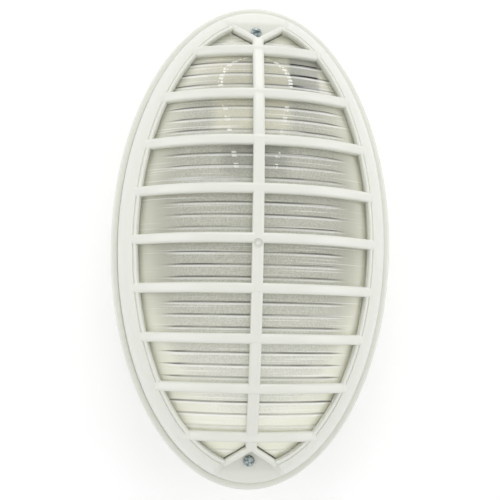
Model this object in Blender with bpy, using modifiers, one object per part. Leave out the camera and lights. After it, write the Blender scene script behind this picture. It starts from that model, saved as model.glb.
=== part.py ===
"""Oval cage wall light: a moulded cage over a ribbed clear diffuser on a deep plastic base.

The wall is the plane Y = 0 and the light faces -Y, standing upright along Z.
The origin is the centre of the base's wall face. A "depth" is a distance in front of
the wall, and an "inset" is a distance inside the light's oval outline.
"""
import math

import bmesh
import bpy
from mathutils import Matrix, Vector

MM = 0.001
COLLECTION_NAME = "cage_wall_light"

# Oval outline and overall depth
HALF_WIDTH = 82.5 * MM
HALF_HEIGHT = 142.5 * MM
LIP_DEPTH = 37.5 * MM
CROWN_RISE = 52.5 * MM
RING_POINTS = 44

# Clearances
SEAT_GAP = 0.3 * MM
SCREW_CLEARANCE = 0.4 * MM
SCREW_TIP_GAP = 0.9 * MM

# Base: a tray with a wide flange, a rounded lip and a rebate for cage and gasket
LIP_WIDTH = 4.0 * MM
LIP_EDGE = 1.9 * MM
LIP_CROWN = 0.5 * MM
REBATE = 2.0 * MM
FLANGE_THICKNESS = 2.5 * MM
TRAY_INSET = 11.5 * MM
TRAY_DRAFT = 1.5 * MM
TRAY_WALL = 3.0 * MM
TRAY_FLOOR = 2.5 * MM
BACK_EDGE = 0.8 * MM
GASKET_RIB_INSET = 14.4 * MM
GASKET_RIB_WIDTH = 1.0 * MM
GASKET_RIB_HEIGHT = 1.5 * MM
FIXING_SIDE_INSET = 44.5 * MM
FIXING_END_INSET = 82.5 * MM
FIXING_HOLE_RADIUS = 2.6 * MM
FIXING_SLOT_LENGTH = 6.0 * MM
FIXING_PAD_RADIUS = 7.0 * MM
FIXING_PAD_HEIGHT = 1.5 * MM
CABLE_HOLE_DROP = 19.0 * MM
CABLE_HOLE_RADIUS = 8.0 * MM

# Gasket between the base's rebate and the diffuser's flange
GASKET_INSET = 9.6 * MM
GASKET_WIDTH = 4.2 * MM
GASKET_HEIGHT = 2.1 * MM

# Cage: rim with a curved shoulder, nine level bars, one upright bar and two screw tabs
SHOULDER_STEP = 1.2 * MM
SHOULDER_REACH = 19.4 * MM
SHOULDER_RISE = 21.1 * MM
SHOULDER_TURN = math.radians(60)
SHOULDER_STEPS = 3
CAGE_WALL = 3.0 * MM
CAGE_FOOT = 2.9 * MM
CLAMP_RIB = 2.2 * MM
CLAMP_RIB_HEIGHT = 1.9 * MM
OPENING_INSET = 15.5 * MM
OPENING_RISE = 21.5 * MM
BEAD_RADIUS = 1.3 * MM
BEAD_DROP = 0.8 * MM
BEAD_OUTSET = 0.325 * MM
BEAD_START = 140
BEAD_STEPS = 3
DOME_POWER = 2.45
BAR_PITCH_SHARE = 0.215
BARS_EACH_SIDE = 4
BAR_WIDTH = 5.7 * MM
UPRIGHT_WIDTH = 6.3 * MM
BAR_DEPTH = 6.0 * MM
BAR_EDGE = 1.5 * MM
BAR_DRAFT = 0.5 * MM
BAR_STEPS = 8
UPRIGHT_STEPS = 12
GATE_MARK_Z = -3.0 * MM
GATE_MARK_RADIUS = 2.3 * MM
GATE_MARK_DEPTH = 0.5 * MM
GATE_NUB_RADIUS = 0.8 * MM

# Screw tabs, top and bottom: a V of two walls round a pocket pressed into the rim
SCREW_INSET = 17.9 * MM
TAB_APEX_INSET = 27.3 * MM
TAB_HALF_ANGLE = math.radians(56.4)
TAB_WALL = 3.4 * MM
TAB_TIP = 2.2 * MM
TAB_ARM_REACH = 17.5 * MM
TAB_ARM_STEPS = 4
TAB_CREST_SHARE = 0.5
TAB_CREST_DROP = 0.3 * MM
TAB_END = 1.5 * MM
TAB_END_SHARE = 0.6
TAB_END_DROP = 2.0 * MM
TAB_EDGE_STEPS = 3
TAB_FLOOR_RISE = 8.0 * MM
TAB_FLOOR_THICKNESS = 2.5 * MM
TAB_EDGE_INSET = 12.5 * MM
TAB_SPACER_RADIUS = 4.6 * MM
POCKET_DROP = 0.2 * MM
POCKET_RISE = 20.0 * MM
POCKET_STEP = 2.5 * MM
POCKET_WALL_SHARE = 0.8
POCKET_FLARE = 9.0 * MM

# Diffuser: ribbed dome with a skirt, a clamped flange and a V notch at each screw
DOME_GAP = 1.6 * MM
DIFFUSER_WALL = 2.0 * MM
DIFFUSER_INSET = 14.0 * MM
FLANGE_INSET = 7.8 * MM
DIFFUSER_FLANGE = 2.0 * MM
RIB_PITCH = 6.87 * MM
RIB_OFFSET = -1.0 * MM
RIB_HEIGHT = 0.55 * MM
RIB_HALF_WIDTH = 0.8 * MM
RIB_FADE_POWER = 8
DIFFUSER_COLUMNS = 6
END_ROWS = 3
INNER_ROWS = 12
NOTCH_CLEARANCE = 2.4 * MM

# Screws; the shares are of the head's radius or height
CAGE_SCREW_RADIUS = 1.9 * MM
CAGE_SCREW_HEAD_RADIUS = 3.2 * MM
CAGE_SCREW_LENGTH = 25.0 * MM
HEAD_RATIO = 0.62
HEAD_FLAT = 0.6
HEAD_SHOULDER = 0.9
HEAD_EDGE = 0.4
TIP_SHARE = 0.4
RECESS_LENGTH = 0.62
RECESS_WIDTH = 0.14
RECESS_FLOOR = 0.35
SLOT_WIDTH = 0.16
SLOT_FLOOR = 0.5
SMALL_SCREW_RADIUS = 1.4 * MM
SMALL_HEAD_RADIUS = 2.8 * MM
SCREW_BOSS_RADIUS = 3.8 * MM

# Lampholder, an E27 porcelain body on a bent steel bracket, mouth down
HOLDER_DEPTH = 34.0 * MM
HOLDER_TOP_INSET = 38.0 * MM
HOLDER_LENGTH = 41.0 * MM
HOLDER_RADIUS = 22.8 * MM
HOLDER_BACK_RADIUS = 20.0 * MM
HOLDER_LIP_RADIUS = 1.5 * MM
HOLDER_SHOULDER_TOP = 0.72
HOLDER_SHOULDER_FOOT = 0.60
SHELL_RADIUS = 14.0 * MM
SHELL_WALL = 0.5 * MM
SHELL_LENGTH = 24.0 * MM
THREAD_PITCH = 3.63 * MM
THREAD_WAVE = 0.45 * MM
MOUTH_SETBACK = 5.0 * MM
MOUTH_FLARE = 1.0 * MM
MOUTH_FLARE_HEIGHT = 4.0 * MM
HOLDER_SCREW_X = 10.0 * MM
HOLDER_SCREW_LENGTH = 7.0 * MM
TERMINAL_X = 15.5 * MM
TERMINAL_POCKET_HEIGHT = 9.0 * MM
TERMINAL_POCKET_WIDTH = 9.0 * MM
TERMINAL_FLOOR_DROP = 9.5 * MM
CONTACT_WIDTH = 5.0 * MM
CONTACT_THICKNESS = 0.5 * MM
CONTACT_REACH = 4.0 * MM
CONTACT_SPRING = 2.75 * MM

# Bracket
BRACKET_SHEET = 1.2 * MM
BRACKET_WIDTH = 34.0 * MM
BRACKET_FOOT = 26.0 * MM
BRACKET_RISE = 43.0 * MM
BRACKET_BEND = 3.6 * MM
BRACKET_BOSS_HEIGHT = 2.0 * MM
BRACKET_BOSS_RADIUS = 4.5 * MM
BRACKET_SCREW_X = 11.0 * MM
BRACKET_SCREW_SETBACK = 18.0 * MM
BRACKET_SCREW_LENGTH = 4.0 * MM

# Terminal block, its brass sleeves and screws, and the two leads
BLOCK_DROP = 2.5 * MM
BLOCK_LENGTH = 18.0 * MM
BLOCK_POLE_PITCH = 9.0 * MM
BLOCK_WIDTH = 19.0 * MM
BLOCK_BODY_HEIGHT = 9.0 * MM
BLOCK_TOWER_HEIGHT = 3.0 * MM
BLOCK_TOWER_RADIUS = 2.9 * MM
BLOCK_SCREW_OFFSET = 5.4 * MM
SLEEVE_RADIUS = 2.2 * MM
SLEEVE_BORE = 1.5 * MM
SLEEVE_DEPTH = 4.6 * MM
SLEEVE_SETBACK = 0.87 * MM
CLAMP_SCREW_RADIUS = 1.2 * MM
CLAMP_SCREW_SINK = 0.75 * MM
CLAMP_SLOT_WIDTH = 0.6 * MM
CLAMP_SLOT_DEPTH = 0.7 * MM
LEAD_RADIUS = 1.1 * MM
LEAD_SIDE_GAP = 4.4 * MM
LEAD_START_SIDE = 2.9 * MM
LEAD_START_RISE = 3.1 * MM
LEAD_BEND = 6.6 * MM
LEAD_TURN = 4.4 * MM
LEAD_TURN_RISE = 9.9 * MM
LEAD_ENTRY_RISE = 2.9 * MM
LEAD_STEPS = 2

# Cable grommet
GROMMET_GROOVE = 1.6 * MM
GROMMET_FLANGE = 1.6 * MM
GROMMET_BORE = 3.0 * MM
GROMMET_MEMBRANE = 0.8 * MM


def clear_scene():
    """Empty the scene of its objects."""
    for item in list(bpy.data.objects):
        bpy.data.objects.remove(item, do_unlink=True)


def new_collection(name):
    """A collection linked to the scene."""
    collection = bpy.data.collections.new(name)
    bpy.context.scene.collection.children.link(collection)
    return collection


clear_scene()
PARTS = new_collection(COLLECTION_NAME)
CUTTERS = new_collection("cutters")


def new_material(name, colour, roughness, metallic=0.0, alpha=1.0):
    """A plain Principled material."""
    material = bpy.data.materials.new(name)
    material.use_nodes = True
    shader = material.node_tree.nodes["Principled BSDF"]
    shader.inputs["Base Color"].default_value = (*colour, 1.0)
    shader.inputs["Roughness"].default_value = roughness
    shader.inputs["Metallic"].default_value = metallic
    shader.inputs["Alpha"].default_value = alpha
    return material


WHITE_PLASTIC = ("white_plastic", (0.80, 0.81, 0.76), 0.28, 0.0, 1.0)
CLEAR_PLASTIC = ("clear_plastic", (0.82, 0.84, 0.78), 0.12, 0.0, 0.35)
GREY_RUBBER = ("grey_rubber", (0.32, 0.32, 0.31), 0.70, 0.0, 1.0)
PORCELAIN = ("porcelain", (0.78, 0.72, 0.58), 0.20, 0.0, 1.0)
ZINC = ("zinc", (0.58, 0.62, 0.65), 0.30, 1.0, 1.0)
BRASS = ("brass", (0.72, 0.52, 0.22), 0.30, 1.0, 1.0)
NICKEL = ("nickel", (0.66, 0.63, 0.57), 0.25, 1.0, 1.0)
BLOCK_PLASTIC = ("block_plastic", (0.83, 0.83, 0.80), 0.40, 0.0, 1.0)
BROWN_SLEEVING = ("brown_sleeving", (0.22, 0.09, 0.04), 0.45, 0.0, 1.0)
BLUE_SLEEVING = ("blue_sleeving", (0.05, 0.14, 0.45), 0.45, 0.0, 1.0)


def add_part(name, mesh, finish, matrix=None):
    """Put a mesh in the parts collection as a named sub-part with its own material."""
    part = bpy.data.objects.new(name, mesh)
    PARTS.objects.link(part)
    if matrix is not None:
        part.matrix_world = matrix
    mesh.materials.append(new_material(f"{name}_{finish[0]}", *finish[1:]))
    return part


def add_cutter(name, mesh, matrix=None):
    """Put a mesh in the cutters collection, drawn as wire and never rendered."""
    cutter = bpy.data.objects.new(name, mesh)
    CUTTERS.objects.link(cutter)
    if matrix is not None:
        cutter.matrix_world = matrix
    cutter.hide_render = True
    cutter.display_type = "WIRE"
    return cutter


def combine(part, operation, others):
    """Stack one Boolean modifier on a part for each of the other objects."""
    for other in others:
        boolean = part.modifiers.new(other.name, "BOOLEAN")
        boolean.operation = operation
        boolean.solver = "EXACT"
        boolean.object = other
    return part


def finish_mesh(builder, name, smooth_angle=35):
    """Turn a bmesh into a mesh whose faces point out and whose round sides shade smooth."""
    bmesh.ops.recalc_face_normals(builder, faces=builder.faces)
    mesh = bpy.data.meshes.new(name)
    builder.to_mesh(mesh)
    builder.free()
    mesh.shade_smooth()
    mesh.set_sharp_from_angle(angle=math.radians(smooth_angle))
    return mesh


def loft(name, sections, closed=False, triangles=False):
    """Skin a row of point loops: a closed row makes a ring, an open one gets flat ends."""
    builder = bmesh.new()
    loops = [[builder.verts.new(point) for point in section] for section in sections]
    pairs = list(zip(loops, loops[1:]))
    if closed:
        pairs.append((loops[-1], loops[0]))
    for first, second in pairs:
        for index, corner in enumerate(first):
            following = (index + 1) % len(first)
            builder.faces.new((corner, first[following], second[following], second[index]))
    if not closed:
        builder.faces.new(loops[0])
        builder.faces.new(loops[-1])
    if triangles:
        bmesh.ops.triangulate(builder, faces=builder.faces)
    return finish_mesh(builder, name)


def oval_point(inset, angle):
    """X and Z of a point on the oval that lies an inset inside the outline."""
    return (HALF_WIDTH - inset) * math.cos(angle), (HALF_HEIGHT - inset) * math.sin(angle)


def tab_crossing(setback):
    """Angle from the oval's end at which a line beside a tab's V crosses the bead."""
    bead_inset = OPENING_INSET - BEAD_OUTSET
    run_x = math.sin(TAB_HALF_ANGLE) / (HALF_WIDTH - bead_inset)
    run_z = math.cos(TAB_HALF_ANGLE) / (HALF_HEIGHT - bead_inset)
    start_z = (TAB_APEX_Z + setback / math.sin(TAB_HALF_ANGLE)) / (HALF_HEIGHT - bead_inset)
    squares = run_x ** 2 + run_z ** 2
    mixed = start_z * run_z
    reach = (math.sqrt(mixed ** 2 + squares * (1 - start_z ** 2)) - mixed) / squares
    return math.asin(reach * run_x)


def ring_angles():
    """Angles round every oval: even ones, and one on each side of the tabs' walls."""
    angles = [2 * math.pi * step / RING_POINTS for step in range(RING_POINTS)]
    for end in (math.pi / 2, math.pi * 3 / 2):
        for setback in (-POCKET_STEP / 2, POCKET_STEP / 2):
            angles += [end - tab_crossing(setback), end + tab_crossing(setback)]
    return sorted(angles)


def oval_ring(inset, depth):
    """A loop of points on one oval, at one depth."""
    loop = []
    for angle in ring_angles():
        x, z = oval_point(inset, angle)
        loop.append((x, -depth, z))
    return loop


def oval_edge_z(inset, x):
    """Height above the middle of an oval's edge at one X."""
    share = x / (HALF_WIDTH - inset)
    return (HALF_HEIGHT - inset) * math.sqrt(max(1 - share * share, 0))


def arc(centre, radius, start, end, steps):
    """Points along a circular arc, angles in degrees."""
    points = []
    for step in range(steps + 1):
        angle = math.radians(start + (end - start) * step / steps)
        points.append((centre[0] + radius * math.cos(angle), centre[1] + radius * math.sin(angle)))
    return points


def prism(name, plan, back, front):
    """A solid over a plan of X and Z points, between two depths."""
    return loft(name, [[(x, -depth, z) for x, z in plan] for depth in (back, front)])


def box_mesh(name, low, high):
    """A box between two corners."""
    builder = bmesh.new()
    bmesh.ops.create_cube(builder, size=1.0)
    size = [b - a for a, b in zip(low, high)]
    centre = [(a + b) / 2 for a, b in zip(low, high)]
    bmesh.ops.scale(builder, vec=size, verts=builder.verts)
    bmesh.ops.translate(builder, vec=centre, verts=builder.verts)
    return finish_mesh(builder, name)


def facing_wall(x, depth, z):
    """Placement whose local +Z points out of the wall, towards the viewer."""
    return Matrix.Translation((x, -depth, z)) @ Matrix.Rotation(math.radians(90), 4, "X")


def cylinder_mesh(name, radius, length, sides=20):
    """A cylinder along +Z from its own origin."""
    builder = bmesh.new()
    bmesh.ops.create_cone(
        builder, cap_ends=True, segments=sides, radius1=radius, radius2=radius, depth=length
    )
    bmesh.ops.translate(builder, vec=(0, 0, length / 2), verts=builder.verts)
    return finish_mesh(builder, name)


def wall_cylinder(name, x, z, radius, back, front, sides=12):
    """A cutter cylinder that runs from one depth to another."""
    mesh = cylinder_mesh(name, radius, front - back, sides)
    return add_cutter(name, mesh, facing_wall(x, back, z))


def turned_mesh(name, profile, closed):
    """A mesh of edges along a profile of radius and height, for the Screw modifier."""
    mesh = bpy.data.meshes.new(name)
    points = [(radius, 0, height) for radius, height in profile]
    edges = [(index, index + 1) for index in range(len(points) - 1)]
    if closed:
        edges.append((len(points) - 1, 0))
    mesh.from_pydata(points, edges, [])
    return mesh


def turn(item, steps):
    """Spin an object's profile about its local Z."""
    screw = item.modifiers.new("turned", "SCREW")
    screw.steps = steps
    screw.render_steps = steps
    screw.use_merge_vertices = True
    screw.merge_threshold = 0.00001
    screw.use_smooth_shade = True
    return item


def turned_part(name, profile, finish, matrix, steps=24, closed=False):
    """A turned sub-part. The profile runs down its outer side, top to bottom."""
    return turn(add_part(name, turned_mesh(name, profile, closed), finish, matrix), steps)


def dome_depth(x, z):
    """Depth of the cage's front surface, which bars and screw tabs all follow."""
    across = x / OPENING_HALF_WIDTH
    along = z / OPENING_HALF_HEIGHT
    rim_depth = LIP_DEPTH + OPENING_RISE
    rise = CROWN_RISE - OPENING_RISE
    return rim_depth + rise * (1 - math.hypot(across, along) ** DOME_POWER)


# Places and depths that several pieces share
OPENING_HALF_WIDTH = HALF_WIDTH - OPENING_INSET
OPENING_HALF_HEIGHT = HALF_HEIGHT - OPENING_INSET
BAR_PITCH = OPENING_HALF_HEIGHT * BAR_PITCH_SHARE
FIXING_X = HALF_WIDTH - FIXING_SIDE_INSET
FIXING_Z = HALF_HEIGHT - FIXING_END_INSET
SCREW_Z = HALF_HEIGHT - SCREW_INSET
TAB_APEX_Z = HALF_HEIGHT - TAB_APEX_INSET
HOLDER_TOP_Z = HALF_HEIGHT - HOLDER_TOP_INSET
FLOOR_CUT_FRONT = 3 * TRAY_FLOOR
SEAT_DEPTH = LIP_DEPTH - REBATE
CAGE_FOOT_DEPTH = SEAT_DEPTH + SEAT_GAP
GASKET_BACK = SEAT_DEPTH + SEAT_GAP
GASKET_FRONT = GASKET_BACK + GASKET_HEIGHT
FLANGE_BACK = GASKET_FRONT + SEAT_GAP
FLANGE_FRONT = FLANGE_BACK + DIFFUSER_FLANGE
CLAMP_DEPTH = FLANGE_FRONT + SEAT_GAP
CAGE_INSET = LIP_WIDTH + SEAT_GAP
TAB_FRONT = LIP_DEPTH + TAB_FLOOR_RISE
TAB_BACK = TAB_FRONT - TAB_FLOOR_THICKNESS
SCREW_HEAD_DEPTH = TAB_FRONT + SEAT_GAP
BOSS_FRONT = FLANGE_BACK - SEAT_GAP
SHELF_Z = HOLDER_TOP_Z + SEAT_GAP
BRACKET_BACK = TRAY_FLOOR + BRACKET_BOSS_HEIGHT + SEAT_GAP
BRACKET_SCREW_Z = SHELF_Z - BRACKET_SCREW_SETBACK
BLOCK_BACK = TRAY_FLOOR + SEAT_GAP
BLOCK_TOP_Z = HOLDER_TOP_Z - HOLDER_LENGTH - BLOCK_DROP
BLOCK_Z = BLOCK_TOP_Z - BLOCK_LENGTH / 2
SLEEVE_AXIS_DEPTH = BLOCK_BACK + SLEEVE_DEPTH
CABLE_HOLE_Z = BLOCK_Z - BLOCK_LENGTH / 2 - CABLE_HOLE_DROP


def base_profile():
    """Inset and depth of the tray, from the wall face round the lip and in to the floor."""
    flange_back = SEAT_DEPTH - FLANGE_THICKNESS
    rib_front = SEAT_DEPTH + GASKET_RIB_HEIGHT
    rib_inner = GASKET_RIB_INSET + GASKET_RIB_WIDTH
    wall_inner = TRAY_INSET + TRAY_DRAFT + TRAY_WALL
    lip_shoulder = LIP_DEPTH - LIP_CROWN
    return [
        (TRAY_INSET + TRAY_DRAFT + BACK_EDGE, 0),
        (TRAY_INSET + TRAY_DRAFT, BACK_EDGE),
        (TRAY_INSET, flange_back),
        (LIP_EDGE / 2, flange_back),
        (0, flange_back + LIP_EDGE / 2),
        (0, lip_shoulder - LIP_EDGE / 2),
        (LIP_EDGE / 3, lip_shoulder),
        (LIP_EDGE, LIP_DEPTH),
        (LIP_WIDTH, lip_shoulder),
        (LIP_WIDTH, SEAT_DEPTH),
        (GASKET_RIB_INSET, SEAT_DEPTH),
        (GASKET_RIB_INSET, rib_front),
        (rib_inner, rib_front),
        (wall_inner, TRAY_FLOOR + BACK_EDGE),
        (wall_inner + BACK_EDGE, TRAY_FLOOR),
    ]


def fixing_slot_plan():
    """Plan of the adjustable wall-fixing hole, a slot with round ends."""
    half = FIXING_SLOT_LENGTH / 2
    right = arc((FIXING_X + half, -FIXING_Z), FIXING_HOLE_RADIUS, -90, 90, 8)
    left = arc((FIXING_X - half, -FIXING_Z), FIXING_HOLE_RADIUS, 90, 270, 8)
    return right + left


def make_base():
    """The one-piece moulded tray with its bosses, fixing holes and cable entry."""
    base = add_part("base", loft("base", [oval_ring(*p) for p in base_profile()]), WHITE_PLASTIC)
    below = TRAY_FLOOR / 2
    posts = [
        wall_cylinder("fixing_pad", -FIXING_X, FIXING_Z, FIXING_PAD_RADIUS, below,
                      TRAY_FLOOR + FIXING_PAD_HEIGHT),
        wall_cylinder("slot_pad", FIXING_X, -FIXING_Z, FIXING_PAD_RADIUS + FIXING_SLOT_LENGTH / 2,
                      below, TRAY_FLOOR + FIXING_PAD_HEIGHT),
    ]
    holes = [
        wall_cylinder("fixing_hole", -FIXING_X, FIXING_Z, FIXING_HOLE_RADIUS, -TRAY_FLOOR,
                      FLOOR_CUT_FRONT),
        add_cutter("fixing_slot", prism("fixing_slot", fixing_slot_plan(), -TRAY_FLOOR,
                                        FLOOR_CUT_FRONT)),
        wall_cylinder("cable_hole", 0, CABLE_HOLE_Z, CABLE_HOLE_RADIUS, -TRAY_FLOOR,
                      FLOOR_CUT_FRONT, 16),
    ]
    for side, end in ((1, "top"), (-1, "bottom")):
        posts.append(wall_cylinder(f"{end}_boss", 0, side * SCREW_Z, SCREW_BOSS_RADIUS, below,
                                   BOSS_FRONT))
        bore_back = SCREW_HEAD_DEPTH - CAGE_SCREW_LENGTH - SCREW_TIP_GAP
        holes.append(wall_cylinder(f"{end}_bore", 0, side * SCREW_Z,
                                   CAGE_SCREW_RADIUS + SCREW_CLEARANCE, bore_back, LIP_DEPTH * 2))
    for side, hand in ((-1, "left"), (1, "right")):
        x = side * BRACKET_SCREW_X
        posts.append(wall_cylinder(f"bracket_boss_{hand}", x, BRACKET_SCREW_Z, BRACKET_BOSS_RADIUS,
                                   below, TRAY_FLOOR + BRACKET_BOSS_HEIGHT))
        bore_back = BRACKET_BACK + BRACKET_SHEET - BRACKET_SCREW_LENGTH
        holes.append(wall_cylinder(f"bracket_bore_{hand}", x, BRACKET_SCREW_Z,
                                   SMALL_SCREW_RADIUS + SCREW_CLEARANCE, bore_back, LIP_DEPTH))
    combine(base, "UNION", posts)
    return combine(base, "DIFFERENCE", holes)


def make_gasket():
    """The foam ring that seals the diffuser's flange to the base."""
    inner = GASKET_INSET + GASKET_WIDTH
    profile = [
        (GASKET_INSET, GASKET_BACK),
        (GASKET_INSET, GASKET_FRONT),
        (inner, GASKET_FRONT),
        (inner, GASKET_BACK),
    ]
    mesh = loft("gasket", [oval_ring(*point) for point in profile], closed=True)
    return add_part("gasket", mesh, GREY_RUBBER)


def shoulder_point(turn_angle, wall=0.0):
    """A point of the cage rim's curved shoulder, or of its inner face when a wall is given."""
    inset = CAGE_INSET + SHOULDER_REACH * (1 - math.cos(turn_angle))
    depth = LIP_DEPTH + SHOULDER_STEP + SHOULDER_RISE * math.sin(turn_angle)
    return inset + wall * math.cos(turn_angle), depth - wall * math.sin(turn_angle)


def ease(share):
    """A share from 0 to 1 with a soft start and end."""
    held = min(max(share, 0.0), 1.0)
    return held * held * (3 - 2 * held)


def pocket_depth(x, z, inset, wall):
    """Depth of a screw pocket's floor or underside: flat in the V, climbing beside it."""
    side = abs(x) * math.cos(TAB_HALF_ANGLE)
    beside = side - (abs(z) - TAB_APEX_Z) * math.sin(TAB_HALF_ANGLE) - wall * POCKET_WALL_SHARE
    flare = POCKET_FLARE * max(0.0, (OPENING_INSET - inset) / (OPENING_INSET - CAGE_INSET))
    climb = ease(beside / (POCKET_STEP + flare) + 0.5)
    return TAB_FRONT - POCKET_DROP - wall + POCKET_RISE * climb


def rim_ring(inset, depth, wall, lowest=0.0):
    """A loop of the rim that keeps a wall's thickness behind the screw pockets."""
    loop = []
    for angle in ring_angles():
        x, z = oval_point(inset, angle)
        pressed = max(pocket_depth(x, z, inset, wall), lowest)
        loop.append((x, -min(depth, pressed), z))
    return loop


def rim_rings():
    """The loops round the cage rim's section, starting at the foot."""
    turns = [SHOULDER_TURN * step / SHOULDER_STEPS for step in range(SHOULDER_STEPS + 1)]
    outside = [shoulder_point(turn_angle) for turn_angle in turns]
    inside = [shoulder_point(turn_angle, CAGE_WALL) for turn_angle in reversed(turns[1:])]
    crest = (OPENING_INSET - BEAD_OUTSET, LIP_DEPTH + OPENING_RISE - BEAD_DROP)
    bead = arc(crest, BEAD_RADIUS, BEAD_START, 0, BEAD_STEPS)
    foot_inner = CAGE_INSET + CAGE_FOOT
    clamp_inner = foot_inner + CLAMP_RIB
    clamp_front = CLAMP_DEPTH + CLAMP_RIB_HEIGHT
    clamp = [
        (clamp_inner, clamp_front),
        (clamp_inner, CLAMP_DEPTH),
        (foot_inner, CLAMP_DEPTH),
        (foot_inner, CAGE_FOOT_DEPTH),
        (CAGE_INSET, CAGE_FOOT_DEPTH),
    ]
    rings = [rim_ring(*point, 0.0) for point in outside + bead]
    rings += [rim_ring(*point, TAB_FLOOR_THICKNESS, clamp_front + POCKET_DROP) for point in inside]
    return rings + [rim_ring(*point, 0.0) for point in clamp]


def bar_section(half_width, front):
    """Across and depth of one bar's section: flat front, eased edges, slight draft."""
    back = front - BAR_DEPTH
    side = [
        (half_width - BAR_DRAFT, back),
        (half_width, front - BAR_EDGE),
        (half_width - BAR_EDGE, front),
    ]
    return side + [(-across, depth) for across, depth in reversed(side)]


def level_bar(index):
    """A level bar that follows the dome from rim to rim."""
    z = index * BAR_PITCH
    share = z / OPENING_HALF_HEIGHT
    reach = OPENING_HALF_WIDTH * math.sqrt(1 - share * share) + BEAD_RADIUS
    sections = []
    for step in range(BAR_STEPS + 1):
        x = reach * (2 * step / BAR_STEPS - 1)
        section = bar_section(BAR_WIDTH / 2, dome_depth(x, z))
        sections.append([(x, -depth, z + across) for across, depth in section])
    name = f"level_bar_{index + BARS_EACH_SIDE + 1}"
    return add_cutter(name, loft(name, sections))


def upright_bar():
    """The bar that runs from one screw tab to the other."""
    reach = TAB_APEX_Z + TAB_WALL / 2
    sections = []
    for step in range(UPRIGHT_STEPS + 1):
        z = reach * (2 * step / UPRIGHT_STEPS - 1)
        section = bar_section(UPRIGHT_WIDTH / 2, dome_depth(0, z))
        sections.append([(across, -depth, z) for across, depth in section])
    return add_cutter("upright_bar", loft("upright_bar", sections))


def wall_section(middle, across, share=1.0, drop=0.0):
    """A round-topped section of a tab's wall, narrowed by a share and lowered by a drop."""
    half = TAB_WALL / 2 * share
    front = dome_depth(middle.x, middle.y) - drop
    side = [
        (half, TAB_BACK + SEAT_GAP),
        (half, front - BAR_EDGE),
        (half * TAB_CREST_SHARE, front - TAB_CREST_DROP),
    ]
    loop = []
    for offset, depth in side + [(-offset, depth) for offset, depth in reversed(side)]:
        point = middle + across * offset
        loop.append((point.x, -depth, point.y))
    return loop


def tab_wall(end):
    """The V-shaped wall of a screw tab, with its apex on the upright bar."""
    apex = Vector((0, end * TAB_APEX_Z))
    sides = []
    for hand in (-1, 1):
        run = Vector((hand * math.sin(TAB_HALF_ANGLE), end * math.cos(TAB_HALF_ANGLE)))
        across = Vector((-hand * math.cos(TAB_HALF_ANGLE), end * math.sin(TAB_HALF_ANGLE)))
        side = []
        for step in range(1, TAB_ARM_STEPS + 1):
            side.append(wall_section(apex + run * (TAB_ARM_REACH * step / TAB_ARM_STEPS), across))
        tip = apex + run * (TAB_ARM_REACH + TAB_END)
        side.append(wall_section(tip, across, TAB_END_SHARE, TAB_END_DROP))
        sides.append(side)
    left, right = sides
    mitre = wall_section(apex, Vector((0, end / math.sin(TAB_HALF_ANGLE))))
    name = f"tab_wall_{end}"
    return add_cutter(name, loft(name, left[::-1] + [mitre] + right))


def mirrored_plan(right_side, end):
    """Close a plan from the points of its right side, and flip it for the bottom end."""
    left_side = [(-x, z) for x, z in reversed(right_side) if x > MM * 0.01]
    return [(x, end * z) for x, z in right_side + left_side]


def tab_plate(end):
    """The floor between a tab's two walls, from its apex out to the rim."""
    corner_x = (TAB_ARM_REACH - TAB_WALL / 2) * math.sin(TAB_HALF_ANGLE)
    apex_z = TAB_APEX_Z + TAB_WALL / 4 / math.sin(TAB_HALF_ANGLE)
    right_side = [(x, apex_z + x / math.tan(TAB_HALF_ANGLE)) for x in (TAB_TIP, corner_x)]
    for step in range(TAB_EDGE_STEPS + 1):
        x = corner_x * (1 - step / TAB_EDGE_STEPS)
        right_side.append((x, oval_edge_z(TAB_EDGE_INSET, x)))
    name = f"tab_plate_{end}"
    return add_cutter(name, prism(name, mirrored_plan(right_side, end), TAB_BACK, TAB_FRONT))


def make_cage():
    """The one-piece moulded cage."""
    rim = loft("cage", rim_rings(), closed=True, triangles=True)
    cage = add_part("cage", rim, WHITE_PLASTIC)
    members = [level_bar(index) for index in range(-BARS_EACH_SIDE, BARS_EACH_SIDE + 1)]
    members.append(upright_bar())
    holes = []
    for end in (1, -1):
        members += [tab_wall(end), tab_plate(end)]
        members.append(wall_cylinder(f"tab_spacer_{end}", 0, end * SCREW_Z, TAB_SPACER_RADIUS,
                                     CLAMP_DEPTH, TAB_BACK + SEAT_GAP))
        holes.append(wall_cylinder(f"tab_bore_{end}", 0, end * SCREW_Z,
                                   CAGE_SCREW_RADIUS + SCREW_CLEARANCE, SEAT_DEPTH, LIP_DEPTH * 2))
    crown = dome_depth(0, GATE_MARK_Z)
    holes.append(wall_cylinder("gate_mark", 0, GATE_MARK_Z, GATE_MARK_RADIUS,
                               crown - GATE_MARK_DEPTH, crown + BAR_DEPTH))
    combine(cage, "UNION", members)
    combine(cage, "DIFFERENCE", holes)
    nub = wall_cylinder("gate_nub", 0, GATE_MARK_Z, GATE_NUB_RADIUS, crown - BAR_DEPTH / 2,
                        crown - GATE_MARK_DEPTH / 3, sides=10)
    return combine(cage, "UNION", [nub])


def rib_rows():
    """Heights of the dome's rows of points, each with how much of a rib it carries."""
    ribs_each_side = int((TAB_APEX_Z - RIB_HALF_WIDTH - abs(RIB_OFFSET)) / RIB_PITCH)
    rows = []
    for index in range(-ribs_each_side, ribs_each_side + 1):
        middle = index * RIB_PITCH + RIB_OFFSET
        rows += [(middle - RIB_HALF_WIDTH, 0.0), (middle, 1.0), (middle + RIB_HALF_WIDTH, 0.0)]
    half_height = HALF_HEIGHT - DIFFUSER_INSET
    for end, last_z in ((-1, rows[0][0]), (1, rows[-1][0])):
        last_turn = math.acos(abs(last_z) / half_height)
        for step in range(1, END_ROWS + 1):
            rows.append((end * half_height * math.cos(last_turn * step / (END_ROWS + 1)), 0.0))
    return sorted(rows)


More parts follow.
